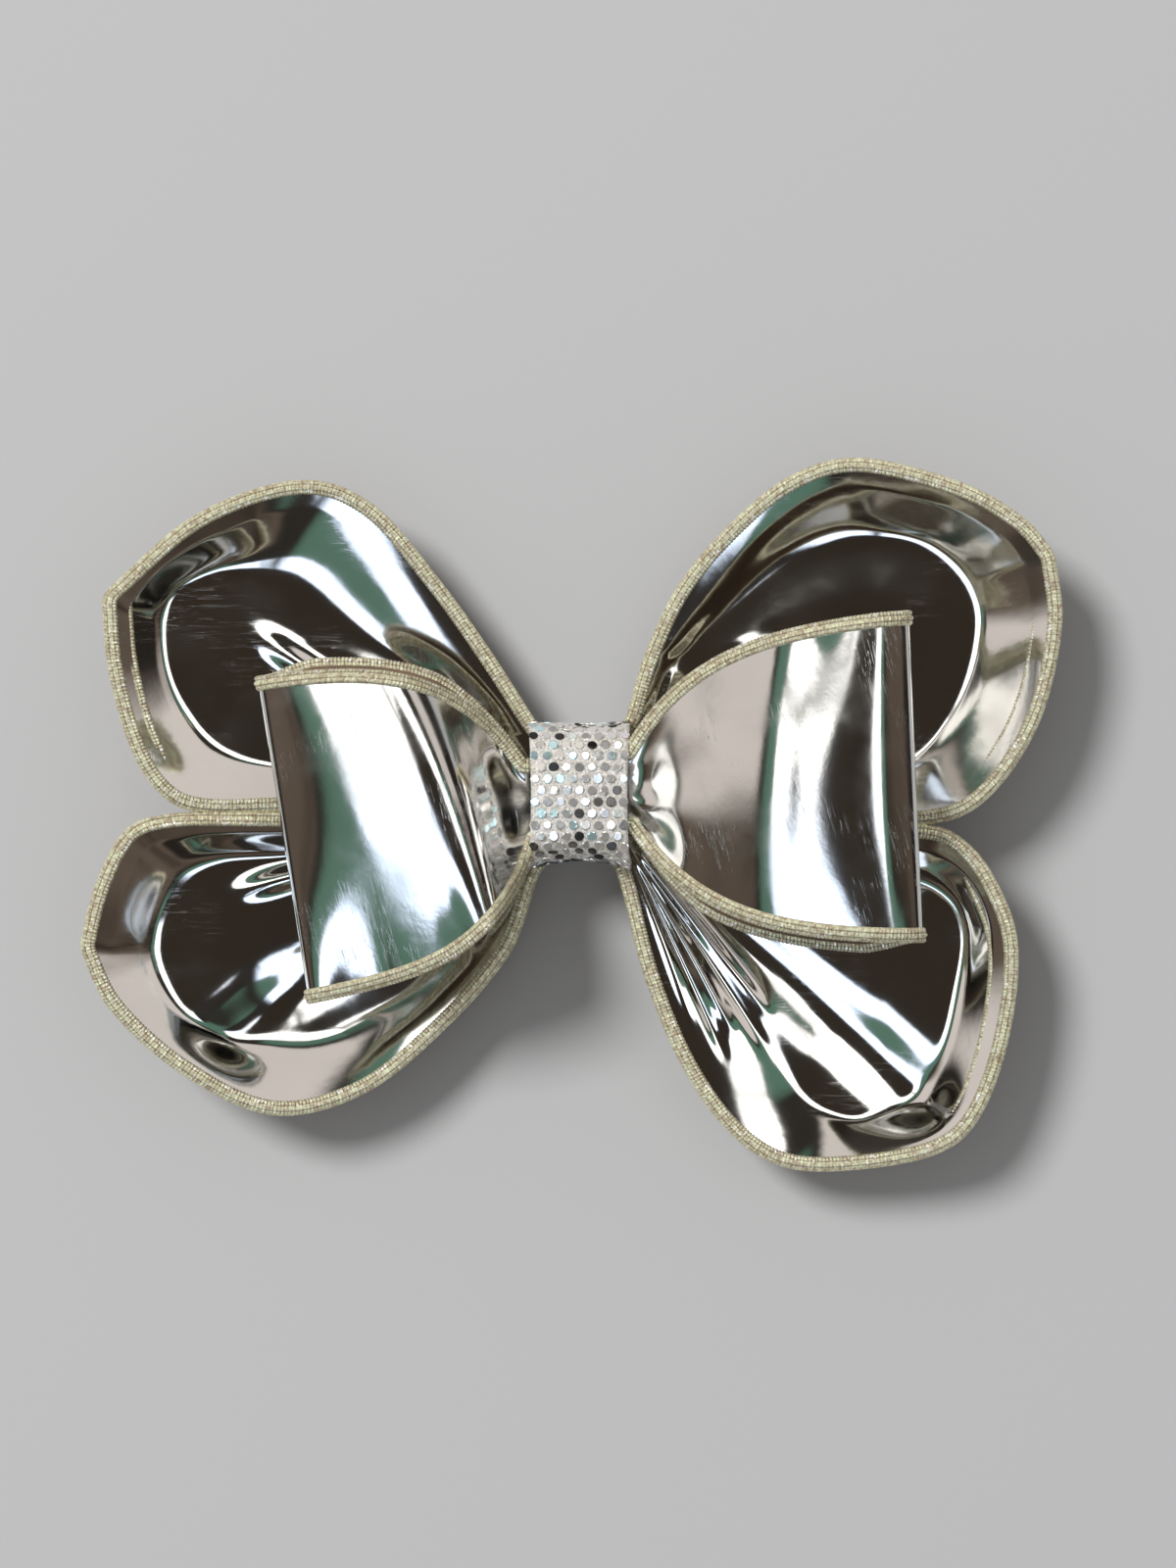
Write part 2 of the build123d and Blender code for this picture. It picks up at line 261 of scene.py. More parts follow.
def corded_edge(name, path, side, sizes):
    """A wired edge wrapped in metallic thread: a flat cord with one rib for each wrap of the thread."""
    width, height, stitch = sizes.cord_width / MM, sizes.cord_height / MM, sizes.stitch / MM
    around = CORD_SIDES
    count = max(8, int(measured(path)[-1] / stitch * ROWS_PER_STITCH))
    path, side = resample(path, count), resample(side, count)
    along = np.gradient(path, axis=0)
    along /= np.linalg.norm(along, axis=1)[:, None]
    side = side - (side * along).sum(1)[:, None] * along
    side /= np.linalg.norm(side, axis=1)[:, None]
    up = np.cross(side, along)
    travel = measured(path)
    points, uv = [], []
    wander = 0.25 * np.sin(travel * 0.83) + 0.18 * np.sin(travel * 2.1 + 1.0)
    for k in range(around):
        angle = 2 * math.pi * k / around
        out = math.cos(angle)
        # Strands lie side by side: fine, even inner ones and a coarse, glittering outer one.
        groove = (1.0 - 0.42 * math.exp(-((out - GROOVE_AT) / GROOVE_WIDTH) ** 2)
                  - 0.30 * math.exp(-((out + GROOVE_AT) / GROOVE_WIDTH) ** 2))
        pitch, height_of_wrap = (stitch, 0.30) if out > 0.45 else (0.62 * stitch, 0.12)
        wrap = np.abs(np.cos(math.pi * travel / pitch + 0.5 * math.sin(angle) + wander))
        swell = 1.0 - height_of_wrap * (1 - wrap)
        across = (width / 2) * out * (1 - 0.5 * height_of_wrap * (1 - wrap) * max(out, 0.0))
        rise = (height / 2) * math.sin(angle) * swell * groove
        points.append(path + side * np.reshape(across, (-1, 1)) + up * rise[:, None])
        uv.append(np.stack([travel / stitch, np.full(count, k / around)], axis=1))
    points, uv = np.stack(points, axis=1).reshape(-1, 3), np.stack(uv, axis=1).reshape(-1, 2)
    faces = []
    for i in range(count - 1):
        for k in range(around):
            a, b = i * around + k, i * around + (k + 1) % around
            faces.append([a, b, b + around, a + around])
    faces.append(list(range(around))[::-1])
    faces.append([(count - 1) * around + k for k in range(around)])
    return point_outwards(new_object(name, points, faces, uv))


def wire_along(name, path, sizes):
    """The shaping wire inside a corded edge."""
    count, around, radius = 160, 6, sizes.wire / MM / 2
    path = resample(path, count)
    along = np.gradient(path, axis=0)
    along /= np.linalg.norm(along, axis=1)[:, None]
    side = np.cross(along, [0.0, 0.0, 1.0])
    side /= np.linalg.norm(side, axis=1)[:, None] + 1e-9
    up = np.cross(side, along)
    rings = [path + radius * (math.cos(t) * side + math.sin(t) * up)
             for t in np.linspace(0, 2 * math.pi, around, endpoint=False)]
    points = np.stack(rings, axis=1).reshape(-1, 3)
    faces = [[i * around + k, i * around + (k + 1) % around, (i + 1) * around + (k + 1) % around,
              (i + 1) * around + k] for i in range(count - 1) for k in range(around)]
    faces += [list(range(around)), [(count - 1) * around + k for k in range(around)]]
    return point_outwards(new_object(name, points, faces))


# ---- Materials --------------------------------------------------------------------------------------

class Nodes:
    """Adds and links shader nodes in one tree."""

    def __init__(self, tree):
        self.tree = tree

    def add(self, kind, settings=None, **inputs):
        node = self.tree.nodes.new(kind)
        for key, value in (settings or {}).items():
            setattr(node, key, value)
        for key, value in inputs.items():
            numbered = key[0] == "i" and key[1:].isdigit()
            self.feed(node.inputs[int(key[1:]) if numbered else key], value)
        return node

    def feed(self, socket, value):
        if isinstance(value, bpy.types.NodeSocket):
            self.tree.links.new(value, socket)
        else:
            socket.default_value = value

    def math(self, operation, a, b=0.0, clamp=False):
        return self.add("ShaderNodeMath", {"operation": operation, "use_clamp": clamp}, i0=a, i1=b).outputs[0]

    def times(self, a, b):
        return self.math("MULTIPLY", a, b)

    def ramp(self, value, low, high, to_low=0.0, to_high=1.0):
        node = self.add("ShaderNodeMapRange", {"interpolation_type": "SMOOTHSTEP"}, i0=value)
        for k, v in zip((1, 2, 3, 4), (low, high, to_low, to_high)):
            self.feed(node.inputs[k], v)
        return node.outputs[0]

    def mix(self, factor, a, b):
        node = self.add("ShaderNodeMix", {"data_type": "RGBA"})
        self.feed(node.inputs[0], factor)
        self.feed(node.inputs[6], a)
        self.feed(node.inputs[7], b)
        return node.outputs[2]

    def mapped(self, source, scale, turn=(0.0, 0.0, 0.0)):
        node = self.add("ShaderNodeMapping", None, i0=source)
        node.inputs["Scale"].default_value = scale
        node.inputs["Rotation"].default_value = turn
        return node.outputs[0]

    def noise(self, vector, scale, detail=3.0, rough=0.5):
        return self.add("ShaderNodeTexNoise", None, Vector=vector, Scale=scale, Detail=detail,
                        Roughness=rough).outputs[0]

    def group(self, name, **inputs):
        node = self.tree.nodes.new("ShaderNodeGroup")
        node.node_tree = bpy.data.node_groups[name]
        for key, value in inputs.items():
            self.feed(node.inputs[key], value)
        return node


def effect_group(name, inputs, outputs, build):
    """A shader node group with named inputs and outputs, filled in by build(nodes, inputs) -> outputs."""
    tree = bpy.data.node_groups.new(name, "ShaderNodeTree")
    for label, kind, default in inputs:
        socket = tree.interface.new_socket(name=label, in_out="INPUT", socket_type=kind)
        if default is not None:
            socket.default_value = default
    for label, kind in outputs:
        tree.interface.new_socket(name=label, in_out="OUTPUT", socket_type=kind)
    entry, leave = tree.nodes.new("NodeGroupInput"), tree.nodes.new("NodeGroupOutput")
    nodes = Nodes(tree)
    results = build(nodes, {s.name: s for s in entry.outputs if s.name})
    for label, _ in outputs:
        tree.links.new(results[label], leave.inputs[label])


def build_scuffs(n, given):
    """Hairline scratches in three directions, with smudges: a mask for each."""
    lines = None
    for turn in (0.5, 1.9, 2.7):
        stretched = n.mapped(given["Vector"], (1.0, 22.0, 1.0), (0.0, 0.0, turn))
        scaled = n.add("ShaderNodeVectorMath", {"operation": "SCALE"}, i0=stretched)
        n.feed(scaled.inputs["Scale"], given["Scale"])
        streak = n.noise(scaled.outputs[0], 1.0, 2.0, 0.6)
        hair = n.ramp(n.math("ABSOLUTE", n.math("SUBTRACT", streak, 0.62)), 0.0, 0.012, 1.0, 0.0)
        lines = hair if lines is None else n.math("MAXIMUM", lines, hair)
    lines = n.times(lines, n.ramp(n.noise(given["Vector"], 90.0, 2.0), 0.5, 0.66))
    smudge = n.ramp(n.noise(given["Vector"], 140.0, 4.0, 0.6), 0.42, 0.72)
    return {"Lines": lines, "Smudge": smudge}


def build_sparkle(n, given):
    """Small facets, each with its own brightness, and a rare bright one, which the materials paint as a
    glint.
    """
    cells = n.add("ShaderNodeTexVoronoi", {"feature": "F1"}, Vector=given["Vector"])
    n.feed(cells.inputs["Scale"], given["Scale"])
    tone = n.add("ShaderNodeSeparateColor", None, i0=cells.outputs["Color"])
    bright = n.ramp(tone.outputs[0], 0.80, 0.93)
    return {"Tone": tone.outputs[1], "Bright": bright, "Height": tone.outputs[2]}


def build_thread(n, given):
    """Wraps of thread across a cord, from its own map: height, painted shade in the seams between the wraps
    and in the grooves between the strands, and the outer half.
    """
    split = n.add("ShaderNodeSeparateXYZ", None, i0=given["UV"])
    lean = n.times(n.math("SINE", n.times(split.outputs[1], 2 * math.pi)), 0.35)
    turns = n.math("ADD", n.times(split.outputs[0], given["Strands"]), lean)
    wave = n.math("ABSOLUTE", n.math("SINE", n.times(turns, math.pi)))
    # Painted shade: the seams between the wraps are darkened where shade would fall.
    seam_shade = n.ramp(wave, 0.0, 0.55, 1.0, 0.0)
    out = n.math("COSINE", n.times(split.outputs[1], 2 * math.pi))
    outer = n.ramp(out, 0.25, 0.55)
    from_groove = n.math("ABSOLUTE", n.math("SUBTRACT", n.math("ABSOLUTE", out), GROOVE_AT))
    # Painted shade: the grooves between the strands are darkened too.
    groove = n.ramp(from_groove, 0.0, 0.16, 1.0, 0.0)
    return {"Height": wave, "Seam": n.math("MAXIMUM", n.times(seam_shade, outer), groove), "Outer": outer}


def build_grain(n, given):
    """Fine fibres and pores."""
    fine = n.add("ShaderNodeTexNoise", None, Vector=given["Vector"], Detail=5.0, Roughness=0.65)
    n.feed(fine.inputs["Scale"], given["Scale"])
    broad = n.noise(given["Vector"], 160.0, 3.0)
    return {"Height": fine.outputs[0], "Patch": n.ramp(broad, 0.35, 0.7)}


def make_groups():
    vector, value = "NodeSocketVector", "NodeSocketFloat"
    effect_group("Scuffs", [("Vector", vector, None), ("Scale", value, 60.0)],
                 [("Lines", value), ("Smudge", value)], build_scuffs)
    effect_group("Sparkle", [("Vector", vector, None), ("Scale", value, 2500.0)],
                 [("Tone", value), ("Bright", value), ("Height", value)], build_sparkle)
    effect_group("Wrapped thread", [("UV", vector, None), ("Strands", value, 1.0)],
                 [("Height", value), ("Seam", value), ("Outer", value)], build_thread)
    effect_group("Grain", [("Vector", vector, None), ("Scale", value, 1500.0)],
                 [("Height", value), ("Patch", value)], build_grain)


def start_material(name, metallic, sheen=0.0):
    """A material with one Principled shader, whose constants are set on its own sockets."""
    new = bpy.data.materials.new(name)
    new.use_nodes = True
    nodes = Nodes(new.node_tree)
    shader = new.node_tree.nodes["Principled BSDF"]
    shader.inputs["Metallic"].default_value = metallic
    shader.inputs["Sheen Weight"].default_value = sheen
    return nodes, shader, nodes.add("ShaderNodeTexCoord")


def rgba(colour_value, factor=1.0):
    return tuple(min(1.0, c * factor) for c in colour_value) + (1.0,)


def paint(n, shader, base, rough, height, strength, depth_mm):
    """Feeds a material's colour, roughness and relief."""
    n.feed(shader.inputs["Base Color"], base)
    n.feed(shader.inputs["Roughness"], rough)
    relief = n.add("ShaderNodeBump", None, Strength=strength, Distance=depth_mm * MM, Height=height)
    n.feed(shader.inputs["Normal"], relief.outputs[0])


def mirror_leatherette(name, tint, scuffing, seed):
    """Metallised film: nearly a mirror, with faint ripple, hairline scuffs and smudges."""
    n, shader, place = start_material(name, 1.0)
    where = n.mapped(place.outputs["Object"], (1.0, 1.0, 1.0), (0.0, 0.0, seed))
    marks = n.group("Scuffs", Vector=where, Scale=130.0).outputs
    base = n.mix(n.ramp(n.noise(where, 45.0, 2.0), 0.3, 0.7), rgba(tint, 0.93), rgba(tint, 1.02))
    base = n.mix(n.times(marks["Lines"], 0.5), base, rgba((0.95, 0.96, 0.95)))
    rough = n.math("MULTIPLY_ADD", marks["Smudge"], 0.05 * scuffing)
    rough.node.inputs[2].default_value = 0.06 + 0.02 * scuffing
    rough = n.math("ADD", rough, n.times(marks["Lines"], 0.28 * scuffing), True)
    ripple, fine = n.noise(where, 420.0, 2.0, 0.45), n.noise(where, 2600.0, 2.0)
    height = n.math("ADD", n.times(ripple, 0.55), n.times(fine, 0.03 + 0.05 * scuffing))
    height = n.math("SUBTRACT", height, n.times(marks["Lines"], 0.03 * scuffing))
    paint(n, shader, base, rough, height, 0.5, 0.035)


def backing_cloth(name, tint):
    """The leatherette's satin reverse."""
    n, shader, place = start_material(name, 0.35, 0.15)
    grain = n.group("Grain", Vector=place.outputs["Object"], Scale=2400.0).outputs
    base = n.mix(grain["Patch"], rgba(tint, 0.8), rgba(tint, 1.3))
    base = n.mix(n.times(grain["Height"], 0.4), base, rgba(tint, 1.8))
    paint(n, shader, base, n.ramp(grain["Height"], 0.2, 0.8, 0.30, 0.48), grain["Height"], 0.4, 0.05)


def metallic_cord(name, tint, light):
    """Champagne-gold metallic thread, with painted shade in the seams between the wraps and in the grooves,
    and bright flecks painted as glints.
    """
    n, shader, place = start_material(name, 0.55)
    thread = n.group("Wrapped thread", UV=place.outputs["UV"], Strands=1.0).outputs
    sparkle = n.group("Sparkle", Vector=place.outputs["Object"], Scale=3000.0).outputs
    tone = n.mix(sparkle["Tone"], rgba(tint, 0.58), rgba(tint, 1.30))
    # Painted shade darkens the thread in its seams and grooves.
    tone = n.mix(n.times(thread["Seam"], 0.80), tone, rgba(tint, 0.18))
    # Painted glint: the rarest facets take the near-white fleck colour, most of all on the outer strand.
    flecks = n.times(sparkle["Bright"], n.math("ADD", thread["Outer"], 0.25, True))
    rough = n.math("SUBTRACT", n.ramp(thread["Height"], 0.0, 1.0, 0.52, 0.30), n.times(flecks, 0.14), True)
    height = n.math("ADD", thread["Height"], n.times(sparkle["Height"], 0.45))
    paint(n, shader, n.mix(flecks, tone, rgba(light)), rough, height, 0.55, 0.10)


def band_ground(name, tint):
    """Glitter fabric between the dots, whose rarest facets are painted near white as glints."""
    n, shader, place = start_material(name, 0.25)
    sparkle = n.group("Sparkle", Vector=place.outputs["Object"], Scale=5200.0).outputs
    grain = n.group("Grain", Vector=place.outputs["Object"], Scale=3000.0).outputs
    base = n.mix(sparkle["Tone"], rgba(tint, 0.65), rgba(tint, 1.25))
    # Painted glint: the rarest facets are turned near white.
    base = n.mix(sparkle["Bright"], base, rgba((0.97, 0.96, 0.95)))
    height = n.math("ADD", sparkle["Height"], grain["Height"])
    paint(n, shader, base, n.ramp(sparkle["Height"], 0.0, 1.0, 0.28, 0.55), height, 0.6, 0.06)


def dot_film(name):
    """Dots of film, each with a painted reflection: a random tone from near black to white, with a few
    iridescent ones.
    """
    n, shader, place = start_material(name, 0.72)
    # Painted reflection: each dot's random tone, from near black to white, stands for what its film mirrors;
    # the highest tones turn iridescent.
    painted_reflection = n.add("ShaderNodeAttribute", {"attribute_name": "dot_tone"}).outputs["Fac"]
    base = n.mix(n.ramp(painted_reflection, 0.14, 0.26), rgba((0.05, 0.048, 0.045)), rgba((0.90, 0.88, 0.84)))
    base = n.mix(n.ramp(painted_reflection, 0.80, 0.86), base, rgba((0.70, 0.92, 0.96)))
    base = n.mix(n.ramp(painted_reflection, 0.93, 0.96), base, rgba((0.97, 0.88, 0.93)))
    ripple = n.noise(place.outputs["Object"], 2200.0, 2.0)
    paint(n, shader, base, n.ramp(ripple, 0.3, 0.7, 0.10, 0.22), ripple, 0.3, 0.03)


def grained(name, dark, light, rough, scale, depth_mm):
    """A plain material with fibres or pores: card, paper, foam and glue."""
    n, shader, place = start_material(name, 0.0)
    grain = n.group("Grain", Vector=place.outputs["Object"], Scale=scale).outputs
    base = n.mix(grain["Patch"], rgba(dark), rgba(light))
    base = n.mix(n.times(grain["Height"], 0.35), base, rgba(dark, 0.8))
    rough = n.ramp(grain["Height"], 0.2, 0.8, rough - 0.08, rough + 0.08)
    paint(n, shader, base, rough, grain["Height"], 0.5, depth_mm)


def twisted_thread(name):
    """Waxed binding thread, with a slanting twist."""
    n, shader, place = start_material(name, 0.0, 0.3)
    slanted = n.mapped(place.outputs["Object"], (1.0, 1.0, 1.0), (0.6, 0.4, 0.0))
    twist = n.add("ShaderNodeTexWave", {"wave_type": "BANDS", "bands_direction": "X"}, Vector=slanted,
                  Scale=1400.0, Distortion=1.2).outputs["Fac"]
    base = n.mix(twist, rgba((0.55, 0.53, 0.50)), rgba((0.86, 0.84, 0.81)))
    paint(n, shader, base, n.ramp(twist, 0.0, 1.0, 0.65, 0.45), twist, 0.6, 0.05)


def drawn_wire(name):
    """Drawn steel wire, with fine lines along it."""
    n, shader, place = start_material(name, 1.0)
    lines = n.noise(n.mapped(place.outputs["Object"], (1.0, 1.0, 9.0)), 1800.0, 2.0)
    base = n.mix(lines, rgba((0.42, 0.42, 0.43)), rgba((0.66, 0.66, 0.67)))
    paint(n, shader, base, n.ramp(lines, 0.3, 0.7, 0.24, 0.40), lines, 0.3, 0.02)


def make_materials(colours):
    make_groups()
    mirror_leatherette("Mirror leatherette", colours.mirror, 0.6, 0.0)
    mirror_leatherette("Scuffed mirror leatherette", colours.mirror, 1.7, 1.3)
    backing_cloth("Leatherette backing", colours.backing)
    metallic_cord("Metallic cord", colours.cord, colours.cord_light)
    band_ground("Band ground", colours.band)
    dot_film("Band dots")
    twisted_thread("Binding thread")
    drawn_wire("Shaping wire")
    grained("Card", (0.72, 0.71, 0.69), (0.80, 0.79, 0.77), 0.75, 1800.0, 0.04)
    grained("Glue", (0.72, 0.68, 0.58), (0.84, 0.81, 0.73), 0.30, 700.0, 0.05)
    grained("Foam", colours.foam, (0.93, 0.93, 0.92), 0.88, 2600.0, 0.12)
    grained("Liner paper", (0.80, 0.74, 0.60), (0.86, 0.81, 0.69), 0.34, 1400.0, 0.02)


def material(name):
    return bpy.data.materials[name]


# ---- Petals -----------------------------------------------------------------------------------------

# Each outline runs from the knot round the petal to the valley between the two petals of its wing, as shares
# of the wing's reach and rise. A corner with True stays sharp. "floor" is the rounded edge of the dish's
# floor, in the same shares, from the knot round and back. "shift" is the side on which the lining peeps out.
# "bend" is how rounded the floor's edge is, as shares of the wall: least, and most on the side that "glow"
# points to. A fold is a gather that runs out from the knot: its heading in degrees above the petal's side,
# where it ends as a share of the reach, and its height and half width in millimetres.
PETALS = {
    "left_upper": dict(side=-1, valley=-0.030, shift=(1.0, 0.45), depth=4.3, crown=0.4,
                       bend=(0.20, 0.42), glow=(-0.70, -0.71), corners=[
        (0.080, 0.165), (0.108, 0.215), (0.200, 0.415), (0.305, 0.620), (0.440, 0.835), (0.585, 0.900),
        (0.790, 0.800), (0.975, 0.575, True), (0.962, 0.370), (0.918, 0.150), (0.860, 0.020), (0.780, -0.028),
        (0.600, -0.025), (0.300, -0.020), (0.080, -0.020)], floor=[
        (0.200, 0.245), (0.400, 0.455), (0.550, 0.620), (0.660, 0.680), (0.770, 0.672), (0.862, 0.590),
        (0.878, 0.440), (0.835, 0.255), (0.740, 0.125), (0.600, 0.080), (0.400, 0.060), (0.200, 0.050)],
        folds=[(28, 0.86, 0.95, 1.7), (15, 0.72, 0.6, 1.7), (47, 0.50, 0.35, 1.1)]),
    "left_lower": dict(side=-1, valley=-0.066, shift=(0.35, -1.0), depth=4.3, crown=0.4,
                       bend=(0.24, 0.42), glow=(-0.95, -0.30), corners=[
        (0.080, -0.185), (0.105, -0.245), (0.160, -0.455), (0.300, -0.680), (0.460, -0.855), (0.640, -0.910),
        (0.820, -0.790), (0.960, -0.610), (1.020, -0.440, True), (0.990, -0.270), (0.935, -0.120),
        (0.860, -0.075), (0.700, -0.068), (0.300, -0.080), (0.080, -0.085)], floor=[
        (0.200, -0.345), (0.340, -0.560), (0.500, -0.695), (0.655, -0.735), (0.790, -0.680), (0.875, -0.540),
        (0.890, -0.400), (0.845, -0.255), (0.760, -0.180), (0.600, -0.165), (0.400, -0.150), (0.200, -0.140)],
        folds=[(-11, 0.82, 1.0, 1.5), (-33, 1.12, -1.1, 4.4), (-58, 0.45, 0.3, 1.2)]),
    "right_upper": dict(side=1, valley=-0.060, shift=(-1.0, 0.35), depth=4.5, crown=0.6,
                        bend=(0.22, 0.40), glow=(0.80, -0.60), corners=[
        (0.080, 0.170), (0.112, 0.225), (0.150, 0.400), (0.222, 0.610), (0.340, 0.800), (0.460, 0.925),
        (0.590, 0.965), (0.785, 0.895), (0.910, 0.795), (0.972, 0.695, True), (0.985, 0.490), (0.940, 0.220),
        (0.840, 0.010), (0.725, -0.062), (0.500, -0.058), (0.250, -0.045), (0.080, -0.030)], floor=[
        (0.152, 0.285), (0.240, 0.460), (0.320, 0.575), (0.440, 0.715), (0.580, 0.780), (0.720, 0.755),
        (0.820, 0.625), (0.842, 0.470), (0.790, 0.240), (0.670, 0.080), (0.450, 0.040), (0.200, 0.045)],
        folds=[(45, 0.62, 1.0, 2.1), (22, 0.80, -0.9, 2.6), (66, 0.46, 0.4, 0.9), (33, 0.74, 0.6, 1.5)]),
    "right_lower": dict(side=1, valley=-0.100, shift=(-1.0, -0.2), depth=4.3, crown=0.2,
                        bend=(0.18, 0.30), glow=(-0.30, -0.95), corners=[
        (0.080, -0.185), (0.102, -0.260), (0.150, -0.520), (0.225, -0.775), (0.320, -0.965), (0.430, -1.065),
        (0.580, -1.070), (0.745, -1.020), (0.825, -0.910), (0.880, -0.680), (0.895, -0.430), (0.850, -0.250),
        (0.790, -0.145), (0.715, -0.104), (0.500, -0.100), (0.250, -0.095), (0.080, -0.090)], floor=[
        (0.180, -0.220), (0.260, -0.350), (0.320, -0.500), (0.370, -0.640), (0.420, -0.780), (0.470, -0.880),
        (0.530, -0.935), (0.600, -0.950), (0.690, -0.900), (0.755, -0.780), (0.800, -0.560), (0.815, -0.400),
        (0.780, -0.290), (0.680, -0.230), (0.450, -0.200), (0.200, -0.160)],
        folds=[(-67, 0.60, 0.45, 0.65), (-62, 0.66, -0.35, 0.65), (-57.5, 0.62, 0.45, 0.7),
               (-53, 0.70, -0.35, 0.75), (-48, 0.64, 0.5, 0.85), (-40, 1.30, -1.3, 5.0),
               (-20, 0.55, 0.4, 1.6)]),
}
STRIP_SLOPE = 0.52                         # how steeply the flared strip falls from the rim
GENTLE_SLOPE = 0.64                        # of a wall without a flared strip
EASE = 30                                  # points of the outline over which its values are smoothed
NECK_DEPTH, DEEP_FROM = 0.16, 30.0         # share of a dish's depth at the hinge; mm out where it is whole
FLOOR_LIMIT = 0.86                         # the floor reaches at most this far from its centre to the rim
RIM_RISE, RIM_CLIMB = 1.5, 0.10            # of the petals' rim above the hinge, and per mm outwards
LINING_DROP, LINING_GAP = 1.7, 1.3         # of the lining behind the face: at its rim and at its floor
LINING_SHIFT, LINING_GROW = 1.30, 0.30     # how far the lining peeps out beside the face
EDGE_LIFT = 0.12                           # of a corded edge's middle above its sheet


def rim_height(x):
    return WING_Z + RIM_RISE + RIM_CLIMB * np.maximum(np.abs(x) - FLEX_X, -2.0)


def petal_rim(petal, count=300):
    """The petal's rim in plan, in millimetres, from the knot round to the valley."""
    corners = [(petal["side"] * REACH * c[0], RISE * c[1]) + tuple(c[2:]) for c in petal["corners"]]
    return curve_through(corners, count)


def closed_curve(points, centre, headings):
    """A smooth closed line through the points, read off where it meets each heading from the centre."""
    ring = curve_through([tuple(p) for p in np.vstack([points[-2:], points, points[:3]])], 1400, 0.05)
    offset = ring - centre
    angle = np.unwrap(np.arctan2(offset[:, 1], offset[:, 0]))
    if angle[-1] < angle[0]:
        angle, offset = angle[::-1], offset[::-1]
    radius = np.linalg.norm(offset, axis=1)
    turns = angle[0] + np.mod(headings - angle[0], 2 * math.pi)
    reach = np.interp(turns, angle, radius)
    return centre + reach[:, None] * np.stack([np.cos(headings), np.sin(headings)], axis=1)


def fold_height(petal, xy):
    """Gathers that run out from the knot, swell and end in a rounded tip."""
    side = petal["side"]
    root = np.array([side * (FLEX_X - 1.5), petal["valley"] * RISE])
    offset = (xy - root) * [side, 1.0]
    total = np.zeros(len(xy))
    for heading, end, height, half_width in petal["folds"]:
        turn = math.radians(heading)
        along = offset @ np.array([math.cos(turn), math.sin(turn)])
        aside = offset @ np.array([-math.sin(turn), math.cos(turn)])
        tip = REACH * end - FLEX_X
        spread = 0.45 * half_width + 0.55 * half_width * np.clip(along / tip, 0.0, 1.0)
        bend = aside - 0.05 * tip * (along / tip) ** 2 * (1 if heading > 0 else -1)
        fade = smooth(along / (0.30 * tip)) * smooth((1.0 - along / tip) / 0.22)
        total += height * fade * np.exp(-(bend / spread) ** 2)
    return total


def soft_ramp(x, start, half):
    """max(0, x - start), with its corner rounded over 2 * half."""
    u = (x - start + half) / (2 * half)
    inside = np.clip(u, 0.0, 1.0)
    return 2 * half * np.where(u > 1.0, u - 0.5, inside ** 3 - inside ** 4 / 2)


def eased(values, half):
    """The values along a closed outline, each averaged with its neighbours up to this many points away."""
    window = np.hanning(2 * half + 1)
    ring = np.concatenate([values[-half:], values, values[:half]])
    return np.convolve(ring, window / window.sum(), mode="valid")


def cup(travel, run, depth, strip, flared, bend):
    """How far down a petal has come at this travel from its rim: a flared strip, a straight wall that ends at
    the run, and a rounded bend into the floor. Where it isn't flared, the wall starts at the rim."""
    strip = np.minimum(strip, 0.40 * run)
    flare = depth / run + (np.minimum(STRIP_SLOPE, 0.9 * depth / run) - depth / run) * flared
    wall = (depth - flare * strip) / (run - strip)
    return (flare * travel + (wall - flare) * soft_ramp(travel, strip, 0.14 * strip)
            - wall * soft_ramp(travel, run, bend * run))


